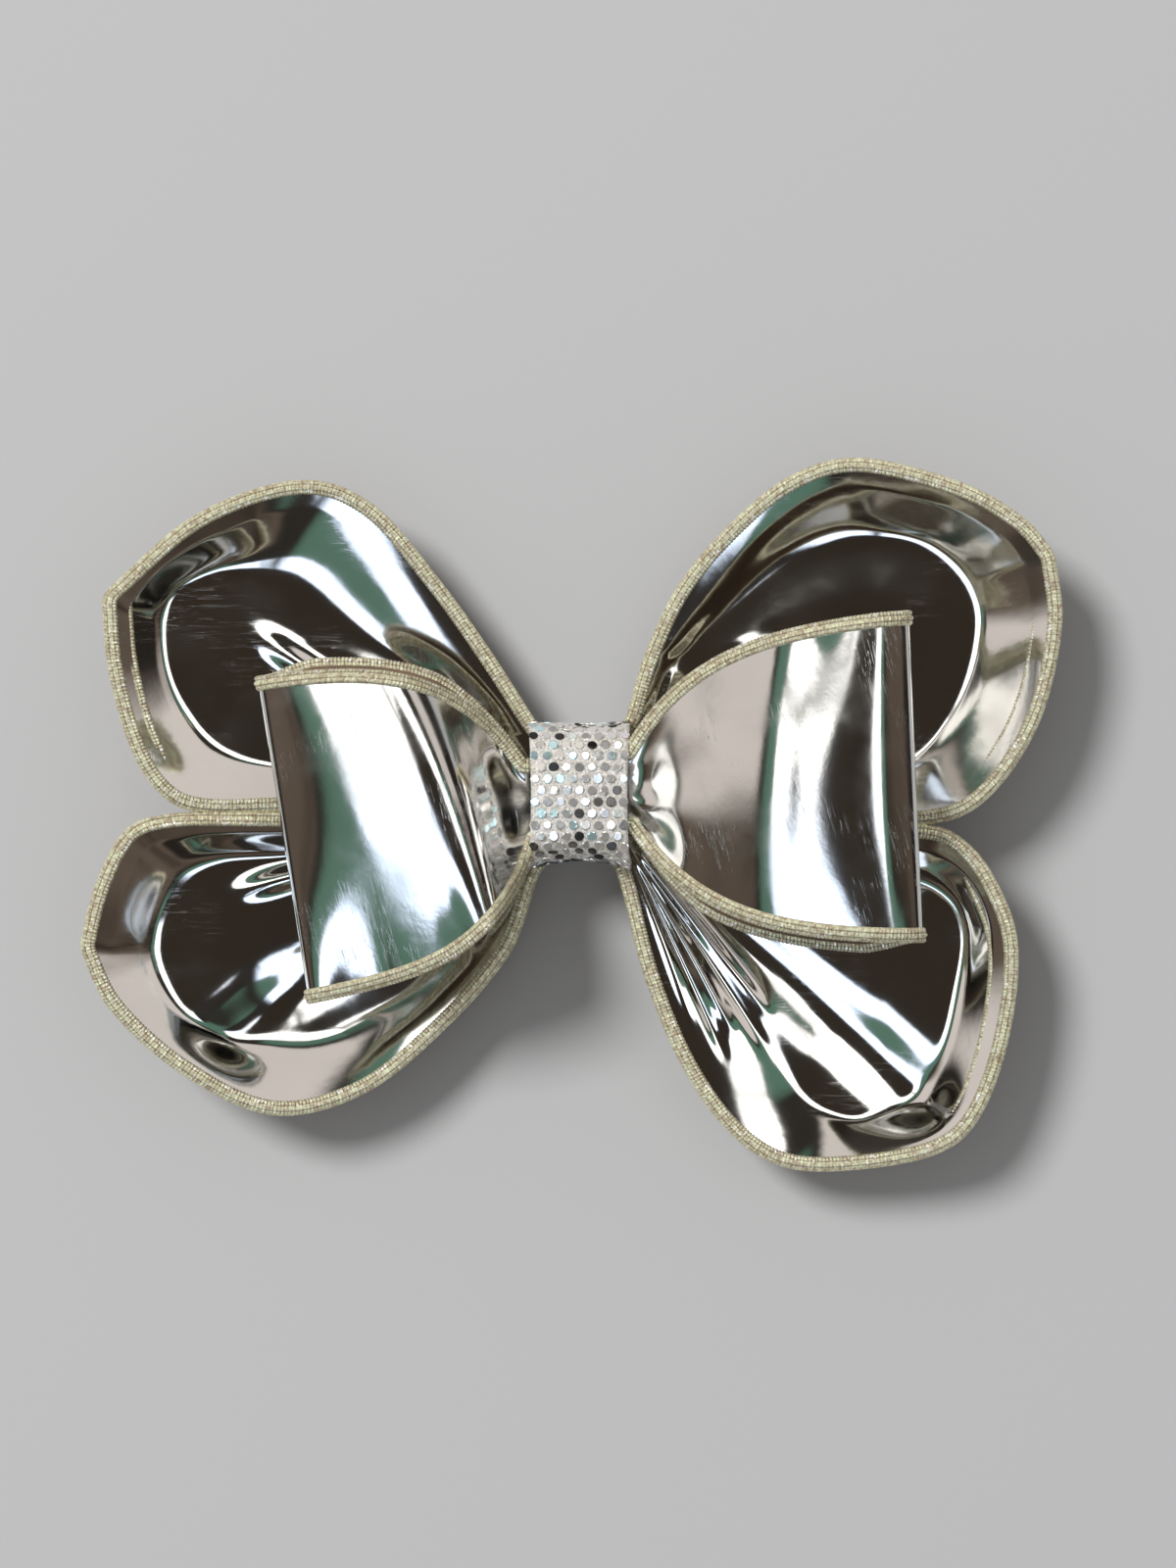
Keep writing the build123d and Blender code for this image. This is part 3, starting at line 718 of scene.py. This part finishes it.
def petal_sheet(petal, sizes, behind=False):
    """The points and faces of a petal's sheet, and its rim as a path for the corded edge."""
    side, upper = petal["side"], petal["corners"][0][1] > 0
    rim = petal_rim(petal)
    push = outward(rim) * (-side if upper else side)
    if behind:
        direction = np.array(petal["shift"]) / np.linalg.norm(petal["shift"])
        peep = LINING_GROW + LINING_SHIFT * np.clip(push @ direction, 0.0, 1.0)
        valley = np.array([[0.0, petal["valley"] * RISE], [side * REACH, petal["valley"] * RISE]])
        near_valley = smooth(distance_to_line(rim, valley) / 6.0)
        near_knot = smooth((np.abs(rim[:, 0]) - FLEX_X) / 8.0)
        rim = rim + push * (peep * near_valley * near_knot)[:, None]
    neck = np.linspace(rim[-1], rim[0], 26)[1:-1]
    outline = np.vstack([rim, neck])
    count = len(outline)
    floor = np.array([(side * REACH * a, RISE * b) for a, b in petal["floor"]])
    centre = floor[2:-2].mean(0) * [0.92, 1.0]
    offset = outline - centre
    inner = closed_curve(floor, centre, np.arctan2(offset[:, 1], offset[:, 0]))
    # The floor's edge stays inside the rim.
    longest = FLOOR_LIMIT * np.linalg.norm(offset, axis=1)
    reach = np.linalg.norm(inner - centre, axis=1)
    inner = centre + (inner - centre) * np.minimum(1.0, longest / reach)[:, None]
    walls = np.concatenate([np.linspace(0, 0.50, 22)[:-1], np.linspace(0.50, 1.0, 24)])
    floors = 1 - np.linspace(0.0, 1.0, 34)[1:-1]
    run, radius = np.linalg.norm(inner - outline, axis=1), np.linalg.norm(inner - centre, axis=1)
    levels = [outline + t * (inner - outline) for t in walls]
    levels += [centre + t * (inner - centre) for t in floors]
    travels = [t * run for t in walls] + [run + (1 - t) * radius for t in floors]
    xy = np.vstack(levels + [centre[None]])
    travel = np.append(np.concatenate(travels), (run + radius).mean())
    share = np.append(np.repeat(np.concatenate([walls, 2.0 - floors]), count), 2.0)
    runs = np.append(np.tile(run, len(levels)), run.mean())
    out = np.maximum(np.abs(xy[:, 0]) - FLEX_X, 0.0)
    depth = petal["depth"] * (NECK_DEPTH + (1 - NECK_DEPTH) * smooth(out / DEEP_FROM))
    flared = np.concatenate([smooth((0.45 - push[:, 1]) / 0.7), np.zeros(count - len(rim))])
    # Where a short wall isn't flared, it stays gentle and the floor falls the rest of the way.
    gentle = 1 - (1 - np.minimum(1.0, GENTLE_SLOPE * run / petal["depth"])) * (1 - flared)
    gentle = np.append(np.tile(eased(gentle, EASE), len(levels)), 1.0)
    depth *= 1 - (1 - gentle) * (1 - smooth((share - 1.0) / 0.9))
    tight, wide = petal["bend"]
    bend = tight + (wide - tight) * smooth((push @ np.array(petal["glow"]) + 0.2) / 1.1)
    bend = eased(np.append(bend, np.full(count - len(rim), tight)), EASE)
    bend = np.append(np.tile(bend, len(levels)), tight)
    flared = np.append(np.tile(flared, len(levels)), 0.0)
    z = rim_height(xy[:, 0]) - cup(travel, runs, depth, sizes.strip / MM, flared, bend)
    # The floor rises again towards its middle, and the gathers run over it.
    z += petal["crown"] * smooth((travel - runs) / 9.0) * smooth(out / 20.0)
    z += fold_height(petal, xy) * (0.5 if behind else 1.0) * smooth((travel - 1.0) / 4.0)
    if behind:
        z -= LINING_DROP + (LINING_GAP - LINING_DROP) * np.minimum(share, 1.0)
    faces = [[k * count + i, k * count + (i + 1) % count, (k + 1) * count + (i + 1) % count,
              (k + 1) * count + i] for k in range(len(levels) - 1) for i in range(count)]
    last = (len(levels) - 1) * count
    faces += [[last + i, last + (i + 1) % count, len(xy) - 1] for i in range(count)]
    points = np.column_stack([xy, z])
    a, b, c = (points[faces[0][k]] for k in range(3))
    if np.cross(b - a, c - a)[2] < 0:
        faces = [f[::-1] for f in faces]
    path = np.column_stack([rim, rim_height(rim[:, 0]) - (LINING_DROP if behind else 0.0) + EDGE_LIFT])
    direction = np.column_stack([push, np.zeros(len(rim))])
    return points, faces, path, direction


def join_points(first, second):
    """Two sheets as one list of points and one of faces."""
    shift = len(first[0])
    return np.vstack([first[0], second[0]]), first[1] + [[i + shift for i in f] for f in second[1]]


def bend_with(obj):
    """Bakes the piece's placement into its mesh."""
    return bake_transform(obj)


def finish_piece(node):
    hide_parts(node)


def leatherette(name, points, faces, sizes, finish="Mirror leatherette"):
    sheet = sheet_object(name, points, faces, sizes.sheet / MM)
    return dress(sheet, material(finish), material("Leatherette backing"))


def edge_and_wire(name, node, path, direction, sizes):
    """A corded edge and the shaping wire in it, in place of the two CAD nodes."""
    edge = dress(corded_edge(f"{name}_corded_edge", path, direction, sizes), material("Metallic cord"))
    wire = dress(wire_along(f"{name}_shaping_wire", path, sizes), material("Shaping wire"))
    finish_piece(f"{node}_edge")
    finish_piece(f"{node}_wire")
    return [edge, wire]


class BOW_OT_petals(bpy.types.Operator):
    """Builds the four petals, their linings and their corded, wired edges"""
    bl_idname = "bow.petals"
    bl_label = "Petals"

    def execute(self, context):
        sizes = context.scene.bow_sizes
        linings = {"left": [], "right": []}
        edges = {"left": [], "right": []}
        for name, petal in PETALS.items():
            side_name = name.split("_")[0]
            points, faces, path, direction = petal_sheet(petal, sizes)
            sheet = leatherette(f"{name}_petal", points, faces, sizes)
            finish_piece(f"{name}_face")
            pieces = edge_and_wire(name, f"{name}_face", path, direction, sizes)
            for piece in [sheet] + pieces:
                bend_with(piece)
            points, faces, path, direction = petal_sheet(petal, sizes, behind=True)
            linings[side_name].append((points, faces))
            edges[side_name].append((path, direction))
        for side_name in ("left", "right"):
            points, faces = join_points(*linings[side_name])
            sheet = leatherette(f"{side_name}_lining_sheet", points, faces, sizes)
            finish_piece(f"{side_name}_lining")
            name = f"{side_name}_lining_edge"
            cords = [corded_edge(f"{name}_piece", *line, sizes) for line in edges[side_name]]
            cord = self.joined(cords, name, "Metallic cord", "metallic_cord")
            name = f"{side_name}_lining_wire"
            wires = [wire_along(f"{name}_piece", path, sizes) for path, _ in edges[side_name]]
            wire = self.joined(wires, name, "Shaping wire", "shaping_wire")
            for piece in (sheet, cord, wire):
                bend_with(piece)
        return {"FINISHED"}

    def joined(self, made, node, finish, slot_name):
        """The pieces as one, in place of the CAD node."""
        bpy.ops.object.select_all(action="DESELECT")
        for piece in made:
            piece.select_set(True)
        bpy.context.view_layer.objects.active = made[0]
        bpy.ops.object.join()
        piece = dress(made[0], material(finish))
        finish_piece(node)
        return piece


# ---- The looped bow on top --------------------------------------------------------------------------

# Lengths in millimetres, turns in degrees. "front" and "rear" are the side view of a loop, from its neck over
# the crown to the fold and back under it, in shares of its length and of LOOP_PUFF.
LOOPS = {
    "left_loop": dict(
        side=-1, length=28.0, turn=9.0, flare=7.0, shift=-0.6, twist=3.6, pleats=0.16, dimple=0.2, phase=0.3,
        front=[(-0.05, 0.12), (0.06, 0.22), (0.15, 0.56), (0.235, 0.87), (0.32, 0.970), (0.45, 0.925),
               (0.60, 0.850), (0.72, 0.780), (0.85, 0.680), (0.965, 0.560), (0.992, 0.510)],
        rear=[(0.996, 0.480), (0.985, 0.435), (0.94, 0.390), (0.76, 0.32), (0.38, 0.15), (0.08, -0.07),
              (-0.05, -0.08)]),
    "right_loop": dict(
        side=1, length=32.0, turn=2.5, flare=9.0, shift=0.8, twist=-1.6, pleats=0.20, dimple=0.25, phase=1.4,
        front=[(-0.05, 0.12), (0.06, 0.20), (0.20, 0.47), (0.34, 0.67), (0.48, 0.850), (0.60, 0.925),
               (0.71, 0.980), (0.79, 0.995), (0.87, 0.970), (0.93, 0.900), (0.975, 0.830), (0.992, 0.780)],
        rear=[(0.996, 0.730), (0.988, 0.670), (0.95, 0.600), (0.76, 0.40), (0.38, 0.15), (0.08, -0.07),
              (-0.05, -0.08)]),
}
NECK_HALF = 4.0                # half width of a loop's neck
RIBBON_HALF = 19.0 - 0.85      # half width of the ribbon inside its corded edges
LOOP_PUFF = 13.0


def loop_half_width(s, loop):
    return NECK_HALF + (RIBBON_HALF - NECK_HALF) * (1 - np.exp(-np.maximum(s, 0.0) / loop["flare"]))


def loop_surface(loop, along_count=190, across_count=72):
    """The ribbon of one loop as a grid of points, from the neck over the crown to the fold and back."""
    side_view = np.array(loop["front"] + loop["rear"]) * [loop["length"], LOOP_PUFF]
    fine = curve_through([tuple(p) for p in side_view], 1200, 0.05)
    fold = np.argmax(fine[:, 0])
    front = resample(fine[:fold + 1], along_count * 6 // 10)
    rear = resample(fine[fold:], along_count * 4 // 10)
    line = np.vstack([front, rear[1:]])
    is_rear = np.arange(len(line)) >= len(front)
    v = np.linspace(-1.0, 1.0, across_count)
    s, across = np.meshgrid(line[:, 0], v, indexing="ij")
    z = np.repeat(line[:, 1:2], across_count, axis=1)
    free = smooth(s / (0.45 * loop["length"])) * smooth((loop["length"] - s) / (0.35 * loop["length"]))
    front_mask = (~is_rear)[:, None]
    # The crown leans across the ribbon, so it lies nearer the fold at one edge than at the other.
    leaned = s + loop["twist"] * across * free
    crown = np.interp(leaned, front[:, 0], front[:, 1])
    z = np.where(front_mask, crown, z)
    z = z - front_mask * free * 1.5 * across ** 2
    pleat = np.cos(5.5 * across + loop["phase"]) + 0.6 * np.cos(9.0 * across + 2.1 * loop["phase"])
    z = z + loop["pleats"] * pleat * np.exp(-((s - 1.5) / 3.6) ** 2)
    dimple = np.exp(-(((s - 8.0) / 3.2) ** 2 + ((across - 0.2) / 0.36) ** 2))
    z = z - front_mask * loop["dimple"] * dimple
    half = loop_half_width(s, loop)
    y = half * across
    # The rear layer spreads a little wider than the front one towards the lower edge.
    y = y - np.where(is_rear[:, None], 1.5 * smooth(s / 9.0) * smooth((loop["length"] - s) / 7.0)
                     * smooth((0.2 - across) / 1.2), 0.0)
    return s, y, z


def place_loop(points, loop):
    """From a loop's own frame to the bow's."""
    turn = math.radians(loop["turn"] + (180 if loop["side"] < 0 else 0))
    c, s = math.cos(turn), math.sin(turn)
    x = points[..., 0] * c - points[..., 1] * s + loop["side"] * FLEX_X
    y = points[..., 0] * s + points[..., 1] * c + loop["shift"]
    return np.stack([x, y, points[..., 2] + LOOP_Z], axis=-1)


class BOW_OT_loops(bpy.types.Operator):
    """Builds the two loops of the small bow, with their corded, wired edges"""
    bl_idname = "bow.loops"
    bl_label = "Small bow"

    def execute(self, context):
        sizes = context.scene.bow_sizes
        for name, loop in LOOPS.items():
            s, y, z = loop_surface(loop)
            grid = place_loop(np.stack([s, y, z], axis=-1), loop)
            rows, columns = grid.shape[:2]
            points = grid.reshape(-1, 3)
            faces = [[i * columns + k, (i + 1) * columns + k, (i + 1) * columns + k + 1, i * columns + k + 1]
                     for i in range(rows - 1) for k in range(columns - 1)]
            ribbon = leatherette(f"{name}_mirror_ribbon", points, faces, sizes, "Scuffed mirror leatherette")
            finish_piece(f"{name}_ribbon")
            made = []
            for column, sign in ((0, -1), (columns - 1, 1)):
                label = f"{name}_upper" if sign == loop["side"] else f"{name}_lower"
                path = grid[:, column]
                made += edge_and_wire(label, label, path, path - grid[:, column - sign], sizes)
            for piece in [ribbon] + made:
                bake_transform(piece)
        return {"FINISHED"}


# ---- Centre band ------------------------------------------------------------------------------------

BAND_STEPS, BAND_COLUMNS = 160, 29         # round the band and across it
BAND_SHEET = 0.7                           # thickness of the band's fabric
DOTTED = (0.16, 0.84)                      # shares of the way round between which the band has dots


def band_section():
    """The band's outer surface in the YZ plane, as a closed line that starts under the band."""
    low, high = BAND_LOW[2], BAND_HIGH[2]
    half = BAND_HIGH[1]
    right = [(0.0, low), (0.55 * half, low), (0.93 * half, low + 0.6), (0.99 * half, low + 3.5),
             (0.99 * half, low + 0.52 * (high - low)), (0.90 * half, low + 0.80 * (high - low)),
             (0.62 * half, high - 0.55), (0.30 * half, high - 0.08), (0.0, high)]
    left = [(-y, z) for y, z in reversed(right[:-1])]
    return curve_through(right + left, BAND_STEPS, 0.4)


def band_point(section, share, across):
    """A point of the band's surface: share runs round it, across runs from -1 to 1 along X."""
    along = measured(section)
    y = np.interp(share * along[-1], along, section[:, 0])
    z = np.interp(share * along[-1], along, section[:, 1])
    middle = (BAND_LOW[2] + BAND_HIGH[2]) / 2
    top = smooth((z - middle) / (BAND_HIGH[2] - middle))
    half = BAND_HIGH[0] * (1.0 - 0.055 * top * (1 - (np.abs(y) / BAND_HIGH[1]) ** 2))
    # Its middle is drawn in where it turns over the knot's ends.
    draw = np.where(y < 0, 0.13, 0.03) * smooth((np.abs(y) / BAND_HIGH[1] - 0.45) / 0.55)
    pull = 1.0 - draw * (1 - across ** 2)
    z = z - top * 0.35 * across ** 4
    return np.stack([half * across, y * pull, z], axis=-1)


class BOW_OT_band(bpy.types.Operator):
    """Builds the centre band and its dots"""
    bl_idname = "bow.band"
    bl_label = "Centre band"

    def execute(self, context):
        sizes = context.scene.bow_sizes
        section = band_section()
        rows, columns = BAND_STEPS - 1, BAND_COLUMNS
        share, across = np.meshgrid(np.arange(rows) / rows, np.linspace(-1.0, 1.0, columns), indexing="ij")
        points = band_point(section, share, across).reshape(-1, 3)
        faces = []
        for i in range(rows):
            here, ahead = i * columns, (i + 1) % rows * columns
            faces += [[here + k, here + k + 1, ahead + k + 1, ahead + k] for k in range(columns - 1)]
        a, b, c = (points[faces[rows * 14 + 5][k]] for k in range(3))
        if np.cross(b - a, c - a)[2] < 0:
            faces = [f[::-1] for f in faces]
        band = sheet_object("glitter_band", points, faces, BAND_SHEET)
        dress(band, material("Band ground"), material("Band ground"))
        finish_piece("centre_band")
        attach(band, "knot")
        dots = self.make_dots(section, sizes)
        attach(dots, "knot")
        return {"FINISHED"}

    def make_dots(self, section, sizes):
        """Film dots in a staggered grid, each tipped its own way, so that each mirrors something else."""
        bpy.ops.object.select_all(action="DESELECT")
        bpy.ops.mesh.primitive_cylinder_add(vertices=12, radius=sizes.dot / 2, depth=0.12 * MM)
        disc = bpy.context.active_object
        bpy.ops.object.mode_set(mode="EDIT")
        bpy.ops.mesh.select_all(action="DESELECT")
        bpy.ops.object.mode_set(mode="OBJECT")
        for face in disc.data.polygons:
            face.select = face.normal.z > 0.9
        bpy.ops.object.mode_set(mode="EDIT")
        bpy.ops.mesh.inset(thickness=0.10 * MM, depth=0.05 * MM)
        bpy.ops.mesh.poke()
        bpy.ops.object.mode_set(mode="OBJECT")
        disc_points = np.array([v.co for v in disc.data.vertices]) / MM
        disc_faces = [list(f.vertices) for f in disc.data.polygons]
        bpy.data.objects.remove(disc)
        rng = np.random.default_rng(RANDOM_SEED)
        total = measured(section)[-1]
        pitch = sizes.dot_pitch / MM
        row_step = pitch * math.sqrt(3) / 2
        rows, columns = int(total / row_step), int(2 * BAND_HIGH[0] / pitch)
        points, faces, reflection_tones = [], [], []
        for i in range(rows):
            share = (i + 0.5) / rows
            if not DOTTED[0] < share < DOTTED[1]:
                continue
            for k in range(columns + 1):
                x = (k - columns / 2 + (0.5 if i % 2 else 0.0)) * pitch / (BAND_HIGH[0] * 0.99)
                if abs(x) > 0.93:
                    continue
                here, aside, ahead = (band_point(section, share + ds, x + dx)
                                      for ds, dx in ((0, 0), (0, 0.02), (0.004, 0)))
                ex = (aside - here) / np.linalg.norm(aside - here)
                ey = (ahead - here) / np.linalg.norm(ahead - here)
                up = np.cross(ex, ey)
                if up[2] * (1 if 0.3 < share < 0.7 else 0) < 0 or (share < 0.5) == (up[1] < 0):
                    up = -up
                up = up + 0.17 * rng.normal(size=3)
                up /= np.linalg.norm(up)
                ex = ex - (ex @ up) * up
                ex /= np.linalg.norm(ex)
                ey = np.cross(up, ex)
                base = len(points) * len(disc_points)
                local = disc_points * (1 + 0.05 * rng.normal())
                points.append(here + local[:, :1] * ex + local[:, 1:2] * ey + (local[:, 2:] + 0.05) * up)
                faces += [[base + v for v in f] for f in disc_faces]
                # Each dot gets a random tone for its painted reflection.
                reflection_tones += [rng.random()] * len(disc_points)
        dots = new_object("band_dots", np.vstack(points), faces, smooth_faces=False)
        tone = dots.data.attributes.new("dot_tone", "FLOAT", "POINT")
        tone.data.foreach_set("value", np.array(reflection_tones, np.float32))
        return dress(dots, material("Band dots"))


# ---- Pad and bindings -------------------------------------------------------------------------------

class BOW_OT_pad(bpy.types.Operator):
    """Builds the foam pad and finishes the card, the glue, the liner, the waists and their threads"""
    bl_idname = "bow.pad"
    bl_label = "Pad and bindings"

    def execute(self, context):
        low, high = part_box("foam_pad")
        size = high - low
        middle = (low + high) / 2
        bpy.ops.object.select_all(action="DESELECT")
        bpy.ops.mesh.primitive_cube_add(size=1.0, location=middle)
        foam = bpy.context.active_object
        foam.name = "foam_adhesive_pad"
        foam.scale = size
        bpy.ops.object.transform_apply(location=True, rotation=False, scale=True)
        bpy.ops.object.mode_set(mode="EDIT")
        bpy.ops.mesh.select_mode(type="EDGE")
        bpy.ops.mesh.select_all(action="DESELECT")
        bpy.ops.object.mode_set(mode="OBJECT")
        # Only the four upright edges are rounded in plan.
        for edge in foam.data.edges:
            a, b = (foam.data.vertices[i].co for i in edge.vertices)
            edge.select = abs(a.z - b.z) > 0.5 * size.z
        bpy.ops.object.mode_set(mode="EDIT")
        bpy.ops.mesh.bevel(offset=3.0 * MM, segments=8)
        bpy.ops.object.mode_set(mode="OBJECT")
        rounding = foam.modifiers.new("Edges", "BEVEL")
        rounding.width = 0.12 * MM
        rounding.segments = 2
        bpy.ops.object.modifier_apply(modifier="Edges")
        foam.data.shade_smooth()
        bpy.ops.object.shade_smooth_by_angle(angle=math.radians(35))
        dress(foam, material("Foam"))
        finish_piece("foam_pad")
        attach(foam, "knot")
        finishes = {"backing_card": "Card", "glue_layer": "Glue", "release_liner": "Liner paper",
                    "wing_binding_thread": "Binding thread", "small_bow_binding_thread": "Binding thread",
                    "wing_waist": "Mirror leatherette", "small_bow_waist": "Scuffed mirror leatherette"}
        for node, finish in finishes.items():
            dress(frame["nodes"][node], material(finish))
        return {"FINISHED"}


# ---- Stage ------------------------------------------------------------------------------------------

VIEW_WIDTH = 134.8             # width of the view where the bow stands, in millimetres
VIEW_CENTRE = (1.0, 1.35)
FOCUS_HEIGHT = 12.0            # the view has that width at this height
LENS = 100.0
KEY_PLACE, KEY_SIZE, KEY_POWER = (-1.16, 0.97, 1.90), 0.72, 47.5       # metres, metres, watts
# The surroundings: spans of headings around the bow, each with its half width, in degrees.
PALE_WALL = ((98, 78),)
GREEN_STRIP = ((0, 28), (112, 22), (190, 48), (240, 12), (300, 14))
LAMPS = ((8, 16), (70, 38), (128, 14), (186, 30), (236, 20), (292, 20))


class BOW_OT_stage(bpy.types.Operator):
    """Makes the pale floor, the lights, the surroundings and the camera"""
    bl_idname = "bow.stage"
    bl_label = "Studio"

    def execute(self, context):
        self.floor()
        self.surroundings(context.scene)
        self.lights()
        self.camera(context.scene)
        return {"FINISHED"}

    def floor(self):
        bpy.ops.object.select_all(action="DESELECT")
        bpy.ops.mesh.primitive_plane_add(size=6.0, location=(0, 0, -0.00005))
        floor = bpy.context.active_object
        floor.name = "studio_floor"
        paint = bpy.data.materials.new("Studio floor")
        paint.use_nodes = True
        shader = paint.node_tree.nodes["Principled BSDF"]
        shader.inputs["Base Color"].default_value = (0.56, 0.56, 0.56, 1.0)
        shader.inputs["Roughness"].default_value = 0.9
        shader.inputs["Specular IOR Level"].default_value = 0.1
        dress(floor, paint)

    def surroundings(self, scene):
        world = bpy.data.worlds.new("Studio surroundings")
        scene.world = world
        world.use_nodes = True
        n = Nodes(world.node_tree)
        background = world.node_tree.nodes["Background"]
        direction = n.add("ShaderNodeTexCoord").outputs["Generated"]
        split = n.add("ShaderNodeSeparateXYZ", None, i0=direction)
        flat_y, height = split.outputs[1], split.outputs[2]
        level = n.add("ShaderNodeVectorMath", {"operation": "MULTIPLY"}, i0=direction,
                      i1=(1.0, 1.0, 0.0)).outputs[0]
        level = n.add("ShaderNodeVectorMath", {"operation": "NORMALIZE"}, i0=level).outputs[0]

        def arcs(spans):
            """A mask that is bright over each span of headings."""
            total = None
            for heading, half in spans:
                towards = (math.cos(math.radians(heading)), math.sin(math.radians(heading)), 0.0)
                facing = n.add("ShaderNodeVectorMath", {"operation": "DOT_PRODUCT"}, i0=level, i1=towards)
                low, high = math.cos(math.radians(half + 9)), math.cos(math.radians(half - 3))
                mask = n.ramp(facing.outputs["Value"], low, high)
                total = mask if total is None else n.math("MAXIMUM", total, mask)
            return total

        # From the horizon up: dark furniture, a wall, a dim green strip, lamps, and a dark ceiling. Heights
        # are from 0 at the horizon to 1 overhead.
        around = n.noise(direction, 2.3, 2.0)
        brown = n.mix(n.ramp(around, 0.35, 0.65), (0.035, 0.027, 0.020, 1.0), (0.125, 0.095, 0.073, 1.0))
        wall = n.mix(arcs(PALE_WALL), brown, (0.74, 0.68, 0.635, 1.0))
        sky = n.mix(n.ramp(height, 0.24, 0.36), (0.022, 0.018, 0.015, 1.0), wall)
        sky = n.mix(n.ramp(height, 0.60, 0.66), sky, (0.030, 0.026, 0.022, 1.0))
        green = n.times(n.ramp(height, 0.66, 0.73), n.ramp(height, 0.80, 0.83, 1.0, 0.0))
        green = n.times(green, arcs(GREEN_STRIP))
        sky = n.mix(green, sky, (0.105, 0.20, 0.15, 1.0))
        lamps = n.times(n.ramp(height, 0.81, 0.83), n.ramp(height, 0.93, 0.95, 1.0, 0.0))
        lamps = n.times(lamps, arcs(LAMPS))
        lamp_light = n.mix(n.ramp(flat_y, -0.3, 0.2), (1.45, 1.68, 2.05, 1.0), (2.1, 2.08, 2.02, 1.0))
        sky = n.mix(lamps, sky, lamp_light)
        sky = n.mix(n.ramp(height, 0.95, 0.985), sky, (0.034, 0.026, 0.019, 1.0))
        rays = n.add("ShaderNodeLightPath")
        plain = n.mix(rays.outputs["Is Diffuse Ray"], sky, (0.30, 0.30, 0.30, 1.0))
        plain = n.mix(rays.outputs["Is Camera Ray"], plain, (0.56, 0.56, 0.56, 1.0))
        n.feed(background.inputs["Color"], plain)
        background.inputs["Strength"].default_value = 1.0

    def lights(self):
        data = bpy.data.lights.new("Key softbox", "AREA")
        data.shape = "DISK"
        data.size = KEY_SIZE
        data.energy = KEY_POWER
        lamp = bpy.data.objects.new("Key softbox", data)
        bpy.context.scene.collection.objects.link(lamp)
        lamp.location = KEY_PLACE
        lamp.rotation_euler = (-Vector(KEY_PLACE)).to_track_quat("-Z", "Y").to_euler()
        lamp.visible_glossy = False

    def camera(self, scene):
        data = bpy.data.cameras.new("Camera")
        data.lens = LENS
        data.sensor_fit = "HORIZONTAL"
        data.sensor_width = 36.0
        data.clip_start = 0.01
        camera = bpy.data.objects.new("Camera", data)
        scene.collection.objects.link(camera)
        away = VIEW_WIDTH * LENS / data.sensor_width
        camera.location = (VIEW_CENTRE[0] * MM, VIEW_CENTRE[1] * MM, (FOCUS_HEIGHT + away) * MM)
        scene.camera = camera
        scene.view_settings.view_transform = "Standard"


# ---- Sidebar and registration -----------------------------------------------------------------------

class BOW_PT_panel(bpy.types.Panel):
    """Lists the steps that build the bow"""
    bl_idname = "BOW_PT_panel"
    bl_label = "Gift bow"
    bl_space_type = "VIEW_3D"
    bl_region_type = "UI"
    bl_category = "Gift bow"

    def draw(self, context):
        for group in (context.scene.bow_sizes, context.scene.bow_colours):
            for key in group.bl_rna.properties.keys():
                if key not in ("rna_type", "name"):
                    self.layout.prop(group, key)
        for step in STEPS:
            self.layout.operator(step.bl_idname)


STEPS = (BOW_OT_stage, BOW_OT_petals, BOW_OT_loops, BOW_OT_band, BOW_OT_pad)
CLASSES = (BowSizes, BowColours, BOW_PT_panel) + STEPS


def register():
    for cls in CLASSES:
        bpy.utils.register_class(cls)
    bpy.types.Scene.bow_sizes = bpy.props.PointerProperty(type=BowSizes)
    bpy.types.Scene.bow_colours = bpy.props.PointerProperty(type=BowColours)


def unregister():
    del bpy.types.Scene.bow_sizes
    del bpy.types.Scene.bow_colours
    for cls in reversed(CLASSES):
        bpy.utils.unregister_class(cls)


def main():
    register()
    make_materials(bpy.context.scene.bow_colours)
    bpy.ops.bow.stage()
    bpy.ops.bow.petals()
    bpy.ops.bow.loops()
    bpy.ops.bow.band()
    bpy.ops.bow.pad()


if __name__ == "__main__":
    main()
